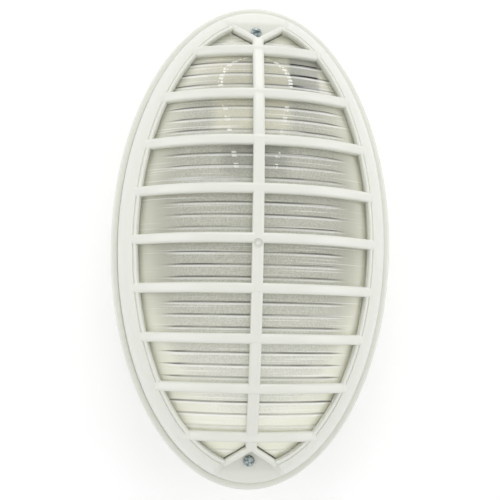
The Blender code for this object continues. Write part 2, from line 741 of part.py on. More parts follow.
def even_rows(count, half_height):
    """Evenly spread rows without ribs, closer together near the two ends."""
    rows = []
    for step in range(1, count):
        rows.append((-half_height * math.cos(math.pi * step / count), 0.0))
    return rows


def dome_block(name, inset, rows, drop, back):
    """A solid under the dome: domed front over an oval plan, straight sides, flat back."""
    half_width = HALF_WIDTH - inset
    half_height = HALF_HEIGHT - inset
    builder = bmesh.new()

    def corner(x, z, rib):
        return builder.verts.new((x, -(dome_depth(x, z) - drop + rib), z))

    grid = []
    for z, rib_share in rows:
        width = half_width * math.sqrt(1 - (z / half_height) ** 2)
        line = []
        for column in range(DIFFUSER_COLUMNS + 1):
            across = 2 * column / DIFFUSER_COLUMNS - 1
            rib = rib_share * RIB_HEIGHT * (1 - abs(across) ** RIB_FADE_POWER)
            line.append(corner(across * width, z, rib))
        grid.append(line)
    bottom_pole = corner(0, -half_height, 0)
    top_pole = corner(0, half_height, 0)
    for lower, upper in zip(grid, grid[1:]):
        for column in range(DIFFUSER_COLUMNS):
            builder.faces.new((lower[column], lower[column + 1], upper[column + 1], upper[column]))
    for pole, line in ((bottom_pole, grid[0]), (top_pole, grid[-1])):
        for column in range(DIFFUSER_COLUMNS):
            builder.faces.new((pole, line[column], line[column + 1]))
    right = [line[-1] for line in grid]
    left = [line[0] for line in reversed(grid)]
    rim = [bottom_pole] + right + [top_pole] + left
    foot = [builder.verts.new((vert.co.x, -back, vert.co.z)) for vert in rim]
    for index in range(len(rim)):
        following = (index + 1) % len(rim)
        builder.faces.new((rim[index], rim[following], foot[following], foot[index]))
    builder.faces.new(foot)
    return finish_mesh(builder, name)


def notch_column(name, end, clearance, back):
    """The V-shaped column that a screw tab needs, from one depth out past the crown."""
    tip = TAB_APEX_Z - (TAB_WALL / 2 + clearance) / math.sin(TAB_HALF_ANGLE)
    outer = HALF_HEIGHT + clearance
    half = (outer - tip) * math.tan(TAB_HALF_ANGLE)
    plan = mirrored_plan([(0, tip), (half, outer)], end)
    return add_cutter(name, prism(name, plan, back, LIP_DEPTH + CROWN_RISE * 2))


def make_diffuser():
    """The clear moulded dome: outer block less inner block, with a flange and two notches."""
    drop = BAR_DEPTH + DOME_GAP
    lift = SEAT_GAP / 2
    outer = dome_block("diffuser", DIFFUSER_INSET, rib_rows(), drop, FLANGE_BACK + lift)
    diffuser = add_part("diffuser", outer, CLEAR_PLASTIC)
    inner_inset = DIFFUSER_INSET + DIFFUSER_WALL
    inner_rows = even_rows(INNER_ROWS, HALF_HEIGHT - inner_inset)
    inner = add_cutter("diffuser_hollow", dome_block("diffuser_hollow", inner_inset, inner_rows,
                                                     drop + DIFFUSER_WALL, SEAT_DEPTH))
    mid_wall = DIFFUSER_INSET + DIFFUSER_WALL / 2
    flange_profile = [
        (FLANGE_INSET, FLANGE_BACK),
        (FLANGE_INSET, FLANGE_FRONT),
        (mid_wall, FLANGE_FRONT),
        (mid_wall, FLANGE_BACK),
    ]
    flange_mesh = loft("diffuser_flange", [oval_ring(*p) for p in flange_profile], closed=True)
    flange = add_cutter("diffuser_flange", flange_mesh)
    notches = []
    bores = []
    for end in (1, -1):
        notches.append(notch_column(f"notch_{end}", end, NOTCH_CLEARANCE, FLANGE_FRONT - lift))
        wall = notch_column(f"notch_wall_{end}", end, NOTCH_CLEARANCE + DIFFUSER_WALL, 0)
        combine(inner, "DIFFERENCE", [wall])
        bores.append(wall_cylinder(f"diffuser_bore_{end}", 0, end * SCREW_Z,
                                   CAGE_SCREW_RADIUS + 2 * SCREW_CLEARANCE, SEAT_DEPTH, LIP_DEPTH * 2))
    combine(diffuser, "DIFFERENCE", notches + [inner])
    combine(diffuser, "UNION", [flange])
    return combine(diffuser, "DIFFERENCE", bores)


def screw_profile(head_radius, head_height, shank_radius, length):
    """Profile of a pan-head screw with its head's seat at height zero, head upwards."""
    return [
        (0, head_height),
        (head_radius * HEAD_FLAT, head_height * HEAD_SHOULDER),
        (head_radius, head_height * HEAD_EDGE),
        (head_radius, 0),
        (shank_radius, 0),
        (shank_radius, -length + shank_radius),
        (shank_radius * TIP_SHARE, -length),
        (0, -length),
    ]


def cross_recess(name, head_radius, head_height, matrix):
    """The two crossed blades that cut a screw's drive recess."""
    blades = []
    length = head_radius * RECESS_LENGTH
    width = head_radius * RECESS_WIDTH
    for index, (x, y) in enumerate(((length, width), (width, length))):
        low = (-x, -y, head_height * RECESS_FLOOR)
        high = (x, y, head_height * 2)
        blade_name = f"{name}_blade_{index}"
        blades.append(add_cutter(blade_name, box_mesh(blade_name, low, high), matrix))
    return blades


def make_screw(name, head_radius, shank_radius, length, matrix, finish=ZINC, cross=True, steps=8):
    """A pan-head screw whose head seats at the placement's origin, shank along local -Z."""
    head_height = head_radius * HEAD_RATIO
    profile = screw_profile(head_radius, head_height, shank_radius, length)
    screw = turned_part(name, profile, finish, matrix, steps)
    if cross:
        recess = cross_recess(name, head_radius, head_height, matrix)
    else:
        half = head_radius * SLOT_WIDTH
        slot = box_mesh(f"{name}_slot", (-head_radius * 2, -half, head_height * SLOT_FLOOR),
                        (head_radius * 2, half, head_height * 2))
        recess = [add_cutter(f"{name}_slot", slot, matrix)]
    return combine(screw, "DIFFERENCE", recess)


def make_cage_screws():
    """The two screws that hold the cage, one in each tab."""
    for end, name in ((1, "cage_screw_top"), (-1, "cage_screw_bottom")):
        turn_angle = math.radians(20 * end)
        matrix = facing_wall(0, SCREW_HEAD_DEPTH, end * SCREW_Z)
        matrix = matrix @ Matrix.Rotation(turn_angle, 4, "Z")
        make_screw(name, CAGE_SCREW_HEAD_RADIUS, CAGE_SCREW_RADIUS, CAGE_SCREW_LENGTH, matrix,
                   steps=16)


def holder_matrix():
    """Placement of the lampholder: local +Z runs from its mouth up to its back."""
    return Matrix.Translation((0, -HOLDER_DEPTH, HOLDER_TOP_Z - HOLDER_LENGTH))


def holder_profile():
    """Radius and height of the porcelain body, from its back down and up into its mouth."""
    mouth = SHELL_RADIUS + THREAD_WAVE + SEAT_GAP
    floor = MOUTH_SETBACK + SHELL_LENGTH + SEAT_GAP
    lip = HOLDER_LIP_RADIUS
    return [
        (0, HOLDER_LENGTH),
        (HOLDER_BACK_RADIUS - lip, HOLDER_LENGTH),
        (HOLDER_BACK_RADIUS, HOLDER_LENGTH - lip),
        (HOLDER_BACK_RADIUS, HOLDER_LENGTH * HOLDER_SHOULDER_TOP),
        (HOLDER_RADIUS, HOLDER_LENGTH * HOLDER_SHOULDER_FOOT),
        (HOLDER_RADIUS, lip),
        (HOLDER_RADIUS - lip / 3, lip / 3),
        (HOLDER_RADIUS - lip, 0),
        (mouth + MOUTH_FLARE + lip, 0),
        (mouth + MOUTH_FLARE, lip / 2),
        (mouth, MOUTH_FLARE_HEIGHT),
        (mouth, floor),
        (0, floor),
    ]


def make_lampholder_body():
    """The porcelain body with its terminal pockets, screw holes and contact slot."""
    matrix = holder_matrix()
    body = turned_part("lampholder_body", holder_profile(), PORCELAIN, matrix, steps=16)
    cuts = []
    pocket_top = HOLDER_TOP_Z + SEAT_GAP
    pocket_bottom = HOLDER_TOP_Z - TERMINAL_POCKET_HEIGHT
    half = TERMINAL_POCKET_WIDTH / 2
    for side, hand in ((-1, "left"), (1, "right")):
        low = (side * TERMINAL_X - half, -(HOLDER_DEPTH - TERMINAL_FLOOR_DROP), pocket_bottom)
        high = (side * TERMINAL_X + half, HOLDER_RADIUS - HOLDER_DEPTH + SEAT_GAP, pocket_top)
        name = f"terminal_pocket_{hand}"
        cuts.append(add_cutter(name, box_mesh(name, low, high)))
        hole = f"holder_bore_{hand}"
        bore = cylinder_mesh(hole, SMALL_SCREW_RADIUS + SCREW_CLEARANCE, HOLDER_LENGTH, 12)
        place = Matrix.Translation((side * HOLDER_SCREW_X, -HOLDER_DEPTH, holder_bore_z()))
        cuts.append(add_cutter(hole, bore, place))
    return combine(body, "DIFFERENCE", cuts)


def holder_bore_z():
    """Where the bores for the lampholder's fixing screws start."""
    return HOLDER_TOP_Z - HOLDER_SCREW_LENGTH + BRACKET_SHEET - SEAT_GAP


def make_screw_shell():
    """The threaded metal cup that takes the lamp, its thread drawn as waves."""
    outer = SHELL_RADIUS
    waves = round(SHELL_LENGTH / (THREAD_PITCH / 2))
    heights = [SHELL_LENGTH * (1 - step / waves) for step in range(waves + 1)]
    outside = []
    inside = []
    for step, height in enumerate(heights):
        wave = THREAD_WAVE if step % 2 else 0
        outside.append((outer + wave, height))
        inside.append((outer + wave - SHELL_WALL, min(height, SHELL_LENGTH - SHELL_WALL)))
    contact_hole = CONTACT_WIDTH
    profile = [(contact_hole, SHELL_LENGTH)] + outside + list(reversed(inside))
    profile.append((contact_hole, SHELL_LENGTH - SHELL_WALL))
    matrix = holder_matrix() @ Matrix.Translation((0, 0, MOUTH_SETBACK))
    return turned_part("screw_shell", profile, NICKEL, matrix, steps=12, closed=True)


def strip(name, path, width, thickness, finish):
    """A bent metal strip: a path in depth and height, spread evenly across X."""
    half = width / 2
    sections = []
    for index, (depth, z) in enumerate(path):
        before = path[max(index - 1, 0)]
        after = path[min(index + 1, len(path) - 1)]
        run = Vector((after[0] - before[0], after[1] - before[1])).normalized()
        side = Vector((-run.y, run.x)) * (thickness / 2)
        sections.append([
            (-half, -(depth + side.x), z + side.y),
            (half, -(depth + side.x), z + side.y),
            (half, -(depth - side.x), z - side.y),
            (-half, -(depth - side.x), z - side.y),
        ])
    return add_part(name, loft(name, sections), finish)


def make_centre_contact():
    """The springy tongue that meets the lamp's cap."""
    seat_z = HOLDER_TOP_Z - HOLDER_LENGTH + MOUTH_SETBACK + SHELL_LENGTH + SEAT_GAP
    top = seat_z - SEAT_GAP - CONTACT_THICKNESS / 2
    path = [
        (HOLDER_DEPTH - CONTACT_REACH, top),
        (HOLDER_DEPTH - CONTACT_REACH / 3, top - CONTACT_THICKNESS),
        (HOLDER_DEPTH + CONTACT_REACH / 3, top - CONTACT_SPRING),
        (HOLDER_DEPTH + CONTACT_REACH, top - CONTACT_SPRING - CONTACT_THICKNESS),
    ]
    return strip("centre_contact", path, CONTACT_WIDTH, CONTACT_THICKNESS, BRASS)


def make_terminals():
    """A brass plate with its clamping screw in each of the lampholder's two pockets."""
    floor = HOLDER_DEPTH - TERMINAL_FLOOR_DROP
    size = TERMINAL_POCKET_WIDTH / 2 - SEAT_GAP * 2
    top = HOLDER_TOP_Z - SEAT_GAP * 2
    bottom = HOLDER_TOP_Z - TERMINAL_POCKET_HEIGHT + SEAT_GAP * 2
    for side, pole in ((-1, "live"), (1, "neutral")):
        x = side * TERMINAL_X
        plate_front = floor - SEAT_GAP
        plate_back = plate_front - BRACKET_SHEET
        name = f"{pole}_terminal_plate"
        mesh = box_mesh(name, (x - size, -plate_front, bottom), (x + size, -plate_back, top))
        add_part(name, mesh, BRASS)
        matrix = facing_wall(x, plate_back - SEAT_GAP, (top + bottom) / 2)
        matrix = matrix @ Matrix.Rotation(math.pi, 4, "X")
        hole = f"{name}_bore"
        bore = cylinder_mesh(hole, SMALL_SCREW_RADIUS + SCREW_CLEARANCE, HOLDER_DEPTH / 4, 12)
        cutter = add_cutter(hole, bore, facing_wall(x, plate_back - SEAT_GAP, (top + bottom) / 2))
        combine(bpy.data.objects[name], "DIFFERENCE", [cutter])
        make_screw(f"{pole}_terminal_screw", SMALL_HEAD_RADIUS, SMALL_SCREW_RADIUS,
                   BRACKET_SHEET + SEAT_GAP, matrix, BRASS, cross=False)


def bracket_path():
    """Depth and height along the middle of the bent bracket, foot first."""
    foot = BRACKET_BACK + BRACKET_SHEET / 2
    back = SHELF_Z + BRACKET_SHEET / 2
    bend = arc((foot + BRACKET_BEND, back - BRACKET_BEND), BRACKET_BEND, 180, 90, 3)
    return [(foot, back - BRACKET_FOOT)] + bend + [(foot + BRACKET_RISE, back)]


def make_bracket():
    """The bent steel bracket that carries the lampholder."""
    bracket = strip("lampholder_bracket", bracket_path(), BRACKET_WIDTH, BRACKET_SHEET, ZINC)
    cuts = []
    radius = SMALL_SCREW_RADIUS + SCREW_CLEARANCE
    for side, hand in ((-1, "left"), (1, "right")):
        cuts.append(wall_cylinder(f"foot_hole_{hand}", side * BRACKET_SCREW_X, BRACKET_SCREW_Z,
                                  radius, 0, LIP_DEPTH / 2, sides=12))
        name = f"back_hole_{hand}"
        place = Matrix.Translation((side * HOLDER_SCREW_X, -HOLDER_DEPTH, SHELF_Z - BRACKET_SHEET))
        bore = cylinder_mesh(name, radius, BRACKET_SHEET * 4, 12)
        cuts.append(add_cutter(name, bore, place))
    return combine(bracket, "DIFFERENCE", cuts)


def make_bracket_screws():
    """Two screws through the bracket's foot, and two into the back of the lampholder."""
    for side, hand in ((-1, "left"), (1, "right")):
        seat = BRACKET_BACK + BRACKET_SHEET + SEAT_GAP
        foot = facing_wall(side * BRACKET_SCREW_X, seat, BRACKET_SCREW_Z)
        make_screw(f"bracket_screw_{hand}", SMALL_HEAD_RADIUS, SMALL_SCREW_RADIUS,
                   BRACKET_SCREW_LENGTH, foot)
        back = Matrix.Translation((side * HOLDER_SCREW_X, -HOLDER_DEPTH,
                                   SHELF_Z + BRACKET_SHEET + SEAT_GAP))
        make_screw(f"lampholder_screw_{hand}", SMALL_HEAD_RADIUS, SMALL_SCREW_RADIUS,
                   HOLDER_SCREW_LENGTH, back)


def pole_x(side):
    """X of one pole of the terminal block."""
    return side * BLOCK_POLE_PITCH / 2


def make_terminal_block():
    """The two-pole block with its brass sleeves and four clamping screws."""
    low = (-BLOCK_WIDTH / 2, -(BLOCK_BACK + BLOCK_BODY_HEIGHT), BLOCK_Z - BLOCK_LENGTH / 2)
    high = (BLOCK_WIDTH / 2, -BLOCK_BACK, BLOCK_TOP_Z)
    block = add_part("terminal_block", box_mesh("terminal_block", low, high), BLOCK_PLASTIC)
    tower_front = BLOCK_BACK + BLOCK_BODY_HEIGHT + BLOCK_TOWER_HEIGHT
    towers = []
    bores = []
    for side, pole in ((-1, "live"), (1, "neutral")):
        x = pole_x(side)
        name = f"{pole}_sleeve"
        sleeve_length = BLOCK_LENGTH - 2 * SLEEVE_SETBACK
        place = Matrix.Translation((x, -SLEEVE_AXIS_DEPTH, BLOCK_Z - sleeve_length / 2))
        through = Matrix.Translation((x, -SLEEVE_AXIS_DEPTH, BLOCK_Z - BLOCK_LENGTH))
        bores.append(add_cutter(f"{name}_seat", cylinder_mesh(name, SLEEVE_RADIUS + SEAT_GAP,
                                                             BLOCK_LENGTH * 2, 12), through))
        sleeve = add_part(name, cylinder_mesh(name, SLEEVE_RADIUS, sleeve_length, 12), BRASS, place)
        channel = add_cutter(f"{name}_bore", cylinder_mesh(name, SLEEVE_BORE, BLOCK_LENGTH * 2, 10),
                             through)
        clamp_holes = []
        for end, place_name in ((1, "upper"), (-1, "lower")):
            z = BLOCK_Z + end * BLOCK_SCREW_OFFSET
            label = f"{pole}_{place_name}"
            bore_back = SLEEVE_AXIS_DEPTH + SEAT_GAP
            towers.append(wall_cylinder(f"tower_{label}", x, z, BLOCK_TOWER_RADIUS,
                                        SLEEVE_AXIS_DEPTH + SLEEVE_RADIUS, tower_front))
            bores.append(wall_cylinder(f"tower_bore_{label}", x, z,
                                       CLAMP_SCREW_RADIUS + SCREW_CLEARANCE, bore_back,
                                       tower_front * 2, 10))
            clamp_holes.append(wall_cylinder(f"clamp_hole_{label}", x, z,
                                             CLAMP_SCREW_RADIUS + SEAT_GAP, bore_back,
                                             tower_front, 10))
            make_clamp_screw(f"clamp_screw_{label}", x, z, tower_front)
        combine(sleeve, "DIFFERENCE", [channel] + clamp_holes)
    combine(block, "UNION", towers)
    return combine(block, "DIFFERENCE", bores)


def make_clamp_screw(name, x, z, tower_front):
    """A headless slotted screw, down on the lead inside its sleeve."""
    tip = SLEEVE_AXIS_DEPTH + LEAD_RADIUS + SEAT_GAP
    length = tower_front - CLAMP_SCREW_SINK - tip
    matrix = facing_wall(x, tip, z)
    profile = [
        (0, length),
        (CLAMP_SCREW_RADIUS, length),
        (CLAMP_SCREW_RADIUS, 0),
        (0, 0),
    ]
    screw = turned_part(name, profile, ZINC, matrix, steps=8)
    half = CLAMP_SLOT_WIDTH / 2
    slot = box_mesh(f"{name}_slot", (-BLOCK_TOWER_RADIUS, -half, length - CLAMP_SLOT_DEPTH),
                    (BLOCK_TOWER_RADIUS, half, length * 2))
    return combine(screw, "DIFFERENCE", [add_cutter(f"{name}_slot", slot, matrix)])


def smooth_route(points, steps):
    """Points along a smooth curve through the given ones."""
    ends = [points[0] * 2 - points[1], points[-1] * 2 - points[-2]]
    known = [ends[0]] + points + [ends[1]]
    route = []
    for index in range(1, len(known) - 2):
        a, b, c, d = known[index - 1:index + 3]
        for step in range(steps):
            t = step / steps
            route.append(0.5 * (2 * b + (c - a) * t + (2 * a - 5 * b + 4 * c - d) * t * t
                                + (3 * b - a - 3 * c + d) * t ** 3))
    return route + [points[-1]]


def lead_route(side):
    """Route of one lead, from the lampholder's terminal down into the block's sleeve."""
    pocket_z = HOLDER_TOP_Z - TERMINAL_POCKET_HEIGHT
    plate_back = HOLDER_DEPTH - TERMINAL_FLOOR_DROP - SEAT_GAP * 2 - BRACKET_SHEET
    start = plate_back - LEAD_RADIUS - SEAT_GAP
    beside = BRACKET_WIDTH / 2 + LEAD_SIDE_GAP
    behind = (TRAY_FLOOR + HOLDER_DEPTH - HOLDER_RADIUS) / 2
    x = pole_x(side)
    stations = [
        (side * (TERMINAL_X + LEAD_START_SIDE), start, pocket_z + LEAD_START_RISE),
        (side * (beside - LEAD_RADIUS), start - LEAD_RADIUS, pocket_z - LEAD_RADIUS),
        (side * beside, start - LEAD_BEND, pocket_z - TERMINAL_POCKET_HEIGHT),
        (side * beside, behind + LEAD_RADIUS * 2, BRACKET_SCREW_Z - BRACKET_BOSS_RADIUS),
        (side * (beside - LEAD_TURN), behind, BLOCK_TOP_Z + LEAD_TURN_RISE),
        (x + side * LEAD_RADIUS, behind, BLOCK_TOP_Z + LEAD_ENTRY_RISE),
        (x, SLEEVE_AXIS_DEPTH, BLOCK_TOP_Z - LEAD_RADIUS),
        (x, SLEEVE_AXIS_DEPTH, BLOCK_Z + LEAD_RADIUS),
    ]
    return [Vector((px, -depth, z)) for px, depth, z in stations]


def make_lead(name, side, finish):
    """A sleeved lead, as a round wire along its smooth route."""
    route = smooth_route(lead_route(side), LEAD_STEPS)
    curve = bpy.data.curves.new(name, "CURVE")
    curve.dimensions = "3D"
    curve.bevel_depth = LEAD_RADIUS
    curve.bevel_resolution = 2
    curve.use_fill_caps = True
    spline = curve.splines.new("POLY")
    spline.points.add(len(route) - 1)
    for point, place in zip(spline.points, route):
        point.co = (*place, 1.0)
    lead = bpy.data.objects.new(name, curve)
    PARTS.objects.link(lead)
    curve.materials.append(new_material(f"{name}_{finish[0]}", *finish[1:]))
    return lead


def make_cable_grommet():
    """The rubber grommet in the cable hole, with a thin membrane to push the cable through."""
    groove = CABLE_HOLE_RADIUS - SEAT_GAP
    flange = CABLE_HOLE_RADIUS + GROMMET_GROOVE
    front = TRAY_FLOOR + SEAT_GAP
    recess = SEAT_GAP
    profile = [
        (0, front),
        (GROMMET_BORE, front),
        (GROMMET_BORE * 1.5, front + GROMMET_FLANGE),
        (flange - GROMMET_FLANGE / 2, front + GROMMET_FLANGE),
        (flange, front + GROMMET_FLANGE / 2),
        (flange, front),
        (groove, front),
        (groove, recess),
        (GROMMET_BORE, recess),
        (GROMMET_BORE, front - GROMMET_MEMBRANE),
        (0, front - GROMMET_MEMBRANE),
    ]
    return turned_part("cable_grommet", profile, GREY_RUBBER, facing_wall(0, 0, CABLE_HOLE_Z), 16)


def build_light():
    """Make every sub-part of the light."""
    make_base()
    make_gasket()
    make_diffuser()
    make_cage()
    make_cage_screws()
    make_bracket()
    make_bracket_screws()
    make_lampholder_body()
    make_screw_shell()
    make_centre_contact()
    make_terminals()
    make_terminal_block()
    make_lead("live_lead", -1, BROWN_SLEEVING)
    make_lead("neutral_lead", 1, BLUE_SLEEVING)
    make_cable_grommet()


build_light()
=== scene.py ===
"""Looks of the oval cage wall light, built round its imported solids.

The wall is the plane Y = 0, the light faces -Y and stands upright along Z. A "depth" is a
distance in front of the wall, and an "inset" a distance inside the light's oval outline.
"""
import math

import bmesh
import bpy
from mathutils import Matrix, Vector


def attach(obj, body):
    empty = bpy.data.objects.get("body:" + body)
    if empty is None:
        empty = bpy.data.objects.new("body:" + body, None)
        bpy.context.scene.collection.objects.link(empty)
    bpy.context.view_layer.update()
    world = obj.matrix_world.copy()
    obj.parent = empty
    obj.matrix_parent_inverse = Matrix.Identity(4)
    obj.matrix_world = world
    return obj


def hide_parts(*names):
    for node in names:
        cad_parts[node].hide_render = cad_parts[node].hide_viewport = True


MM = 0.001
BODY = "root"

# Oval outline and overall depth, as in the solids
HALF_WIDTH = 82.5 * MM
HALF_HEIGHT = 142.5 * MM
LIP_DEPTH = 37.5 * MM
CROWN_RISE = 52.5 * MM
SEAT_GAP = 0.3 * MM
RING_POINTS = 320
RING_CROWDING = 0.3

# Base
LIP_WIDTH = 4.0 * MM
REBATE = 2.0 * MM
FLANGE_THICKNESS = 2.5 * MM
TRAY_INSET = 11.5 * MM
TRAY_DRAFT = 1.5 * MM
TRAY_WALL = 3.0 * MM
TRAY_FLOOR = 2.5 * MM
GASKET_RIB_INSET = 14.4 * MM
GASKET_RIB_WIDTH = 1.0 * MM
GASKET_RIB_HEIGHT = 1.5 * MM
FIXING_X = 38.0 * MM
FIXING_Z = 60.0 * MM
FIXING_HOLE_RADIUS = 2.6 * MM
FIXING_SLOT_LENGTH = 6.0 * MM
FIXING_PAD_RADIUS = 7.0 * MM
FIXING_PAD_HEIGHT = 1.5 * MM
CABLE_HOLE_Z = 24.0 * MM
CABLE_HOLE_RADIUS = 8.0 * MM
BRACKET_BOSS_RADIUS = 4.5 * MM
BRACKET_BOSS_HEIGHT = 2.0 * MM
BRACKET_SCREW_X = 11.0 * MM
BRACKET_SCREW_Z = 86.8 * MM
BRACKET_BORE_RADIUS = 1.8 * MM
BRACKET_BORE_LENGTH = 2.5 * MM
TRAY_EDGE = 0.8 * MM
FLOOR_FILLET = 1.6 * MM
FLOOR_FILLET_MIDDLE = 0.5 * MM
LIP_ROLL_SHARE = 0.36
# Steps round the lip's inner edge, inwards and back from its front
LIP_EDGE_STEPS = ((0.6 * MM, 0.1 * MM), (0.15 * MM, 0.4 * MM), (0.0, 0.9 * MM))

# Gasket and diffuser seats
GASKET_HEIGHT = 2.1 * MM
DIFFUSER_FLANGE = 2.0 * MM
SEAT_DEPTH = LIP_DEPTH - REBATE
FLANGE_BACK = SEAT_DEPTH + 2 * SEAT_GAP + GASKET_HEIGHT
FLANGE_FRONT = FLANGE_BACK + DIFFUSER_FLANGE
CLAMP_DEPTH = FLANGE_FRONT + SEAT_GAP

# Cage
CAGE_INSET = LIP_WIDTH + SEAT_GAP
SHOULDER_STEP = 1.2 * MM
SHOULDER_REACH = 19.4 * MM
SHOULDER_RISE = 21.1 * MM
SHOULDER_TURN = math.radians(60)
CAGE_WALL = 3.0 * MM
CAGE_FOOT = 2.9 * MM
EDGE_ROUND = 0.5 * MM
CLAMP_RIB = 2.2 * MM
CLAMP_RIB_HEIGHT = 1.9 * MM
OPENING_INSET = 15.5 * MM
OPENING_RISE = 21.5 * MM
BEAD_RADIUS = 1.3 * MM
BEAD_DROP = 0.8 * MM
BEAD_FACE_RADIUS = 1.0 * MM
BEAD_CREST_INSET = OPENING_INSET + 0.75 * BEAD_RADIUS
BEAD_GROOVE = 0.7 * MM
FOOT_BULGE = 0.18 * MM
SKIRT_WALL = 1.0 * MM
SKIRT_STEP = 0.35 * MM
DOME_POWER = 2.45
BAR_PITCH = 27.3 * MM
BAR_COUNT = 9
BAR_WIDTH = 5.7 * MM
UPRIGHT_WIDTH = 6.3 * MM
BAR_DEPTH = 6.0 * MM
BAR_ROUND = 1.5 * MM
BAR_OVERLAP = 0.6 * MM
BAR_END_LENGTH = 6.0 * MM
BAR_END_FLARE = 0.16
BAR_END_LIFT = 0.3 * MM
BAR_END_DROP = 1.8 * MM
BAR_END_NARROWING = 0.4
BAR_NOSE_POWER = 16.0
BAR_STEPS = 240
GATE_MARK_Z = -3.0 * MM
GATE_MARK_RADIUS = 2.6 * MM
GATE_MARK_DEPTH = 1.3 * MM
GATE_NUB_RADIUS = 1.1 * MM
GATE_NUB_DROP = 0.3 * GATE_MARK_DEPTH

# Screw tabs
SCREW_Z = 124.6 * MM
TAB_APEX_Z = 115.2 * MM
TAB_HALF_ANGLE = math.radians(56.4)
TAB_WALL = 3.4 * MM
TAB_ARM_REACH = 17.5 * MM
TAB_END = 2.6 * MM
TAB_END_SHARE = 0.3
TAB_CREST_ROUND = 0.85
TAB_CREST_DROP = 0.2 * BAR_ROUND
TAB_FRONT = LIP_DEPTH + 8.0 * MM
TAB_BACK = TAB_FRONT - 2.5 * MM
TAB_FLOOR = 2.5 * MM
POCKET_DROP = 0.05 * MM
POCKET_FALL = 0.22
POCKET_RISE = 20.0 * MM
POCKET_STEP = 2.5 * MM
POCKET_WALL_SHARE = 0.8
POCKET_FLARE = 9.0 * MM
POCKET_SOFTNESS = 0.8 * MM
SEAT_EDGE = 5.8 * MM
TAB_SPACER_RADIUS = 4.6 * MM
SCREW_BORE_RADIUS = 2.3 * MM
SCREW_BOSS_RADIUS = 3.8 * MM
SCREW_HEAD_DEPTH = TAB_FRONT + SEAT_GAP
CAGE_SCREW_RADIUS = 1.9 * MM
CAGE_SCREW_HEAD_RADIUS = 3.2 * MM
CAGE_SCREW_HEAD_HEIGHT = 0.62 * CAGE_SCREW_HEAD_RADIUS
CAGE_SCREW_TURNS = {"cage_screw_top": (1, 20), "cage_screw_bottom": (-1, -32)}
RECESS_REACH = 0.64 * CAGE_SCREW_HEAD_RADIUS
RECESS_HALF_WIDTH = 0.19 * CAGE_SCREW_HEAD_RADIUS
RECESS_FLOOR = 0.3 * CAGE_SCREW_HEAD_HEIGHT
MARK_REACH = 0.8 * RECESS_REACH
MARK_HALF_WIDTH = 0.22 * RECESS_HALF_WIDTH
MARK_FLOOR = 0.8 * CAGE_SCREW_HEAD_HEIGHT
HEAD_TOP_SHARE = 0.45
HEAD_SIDE_SHARE = 0.35
HEAD_EDGE = 0.1 * MM
CAGE_SCREW_LENGTH = 25.0 * MM
CAGE_SCREW_TIP = CAGE_SCREW_LENGTH - 0.2 * MM
SCREW_PITCH = 1.4 * MM
THREAD_ROOT = 0.78 * CAGE_SCREW_RADIUS
BORE_FRONT = 2 * LIP_DEPTH

# Diffuser
DIFFUSER_DROP = BAR_DEPTH + 1.6 * MM
DIFFUSER_WALL = 2.0 * MM
DIFFUSER_INSET = 14.0 * MM
FLANGE_INSET = 7.8 * MM
RIB_PITCH = 6.87 * MM
RIB_OFFSET = -1.0 * MM
RIB_HEIGHT = 0.55 * MM
RIB_HALF_WIDTH = 0.8 * MM
RIB_REACH = 55.0 * MM
RIB_TAPER = 14.0 * MM
NOTCH_CLEARANCE = 0.7 * MM
DIFFUSER_BORE_RADIUS = SCREW_BORE_RADIUS + 0.4 * MM

# Lampholder
HOLDER_DEPTH = 34.0 * MM
HOLDER_TOP_Z = 104.5 * MM
HOLDER_LENGTH = 41.0 * MM
HOLDER_RADIUS = 22.8 * MM
HOLDER_BACK_RADIUS = 20.0 * MM
HOLDER_LIP_RADIUS = 1.5 * MM
SHELL_RADIUS = 14.0 * MM
SHELL_WALL = 0.5 * MM
SHELL_LENGTH = 24.0 * MM
THREAD_PITCH = 3.63 * MM
THREAD_WAVE = 0.45 * MM
MOUTH_SETBACK = 5.0 * MM
MOUTH_FLARE = 1.0 * MM
HOLDER_SCREW_X = 10.0 * MM
TERMINAL_X = 15.5 * MM
TERMINAL_POCKET = 9.0 * MM
TERMINAL_FLOOR_DROP = 9.5 * MM
CONTACT_HOLE_RADIUS = 5.0 * MM
SHELL_SIDES = 96
SHELL_ROWS = 72
HOLDER_BORE_RADIUS = 1.8 * MM
HOLDER_BORE_DROP = 6.2 * MM
HOLDER_GROOVE = 0.4 * MM
HOLDER_GROOVE_HALF_WIDTH = 0.6 * MM
HOLDER_GROOVES = (0.42 * HOLDER_LENGTH, 0.36 * HOLDER_LENGTH)
SHOULDER_FRONT = 0.60 * HOLDER_LENGTH
SHOULDER_BACK = 0.72 * HOLDER_LENGTH
MOUTH_FLARE_END = 0.8 * MOUTH_SETBACK

# Painted glints: small light dots along the lampholder's outline, as the ribs would make of it
GLINT_MIDDLE_X = -1.2 * MM
GLINT_HALF_WIDTH = 20.0 * MM
GLINT_ARCH_Z = 90.0 * MM
GLINT_ARCH_HEIGHT = 16.0 * MM
GLINT_LEG_SLOPE = 0.19
GLINT_LEG_START = 3.2 * MM
GLINT_PITCH = 2.1 * MM
GLINT_SIDE_FADE = (1.7 * MM, 0.8 * MM)
GLINT_STEP_FADE = (0.85 * MM, 0.4 * MM)
GLINT_RIB_FADE = (2.0 * MM, 1.2 * MM)
GLINT_ARCH_FADE = (84 * MM, 90 * MM)
GLINT_FOOT_FADE = (37 * MM, 39 * MM)
GLINT_SCATTER = (0.38, 0.50)
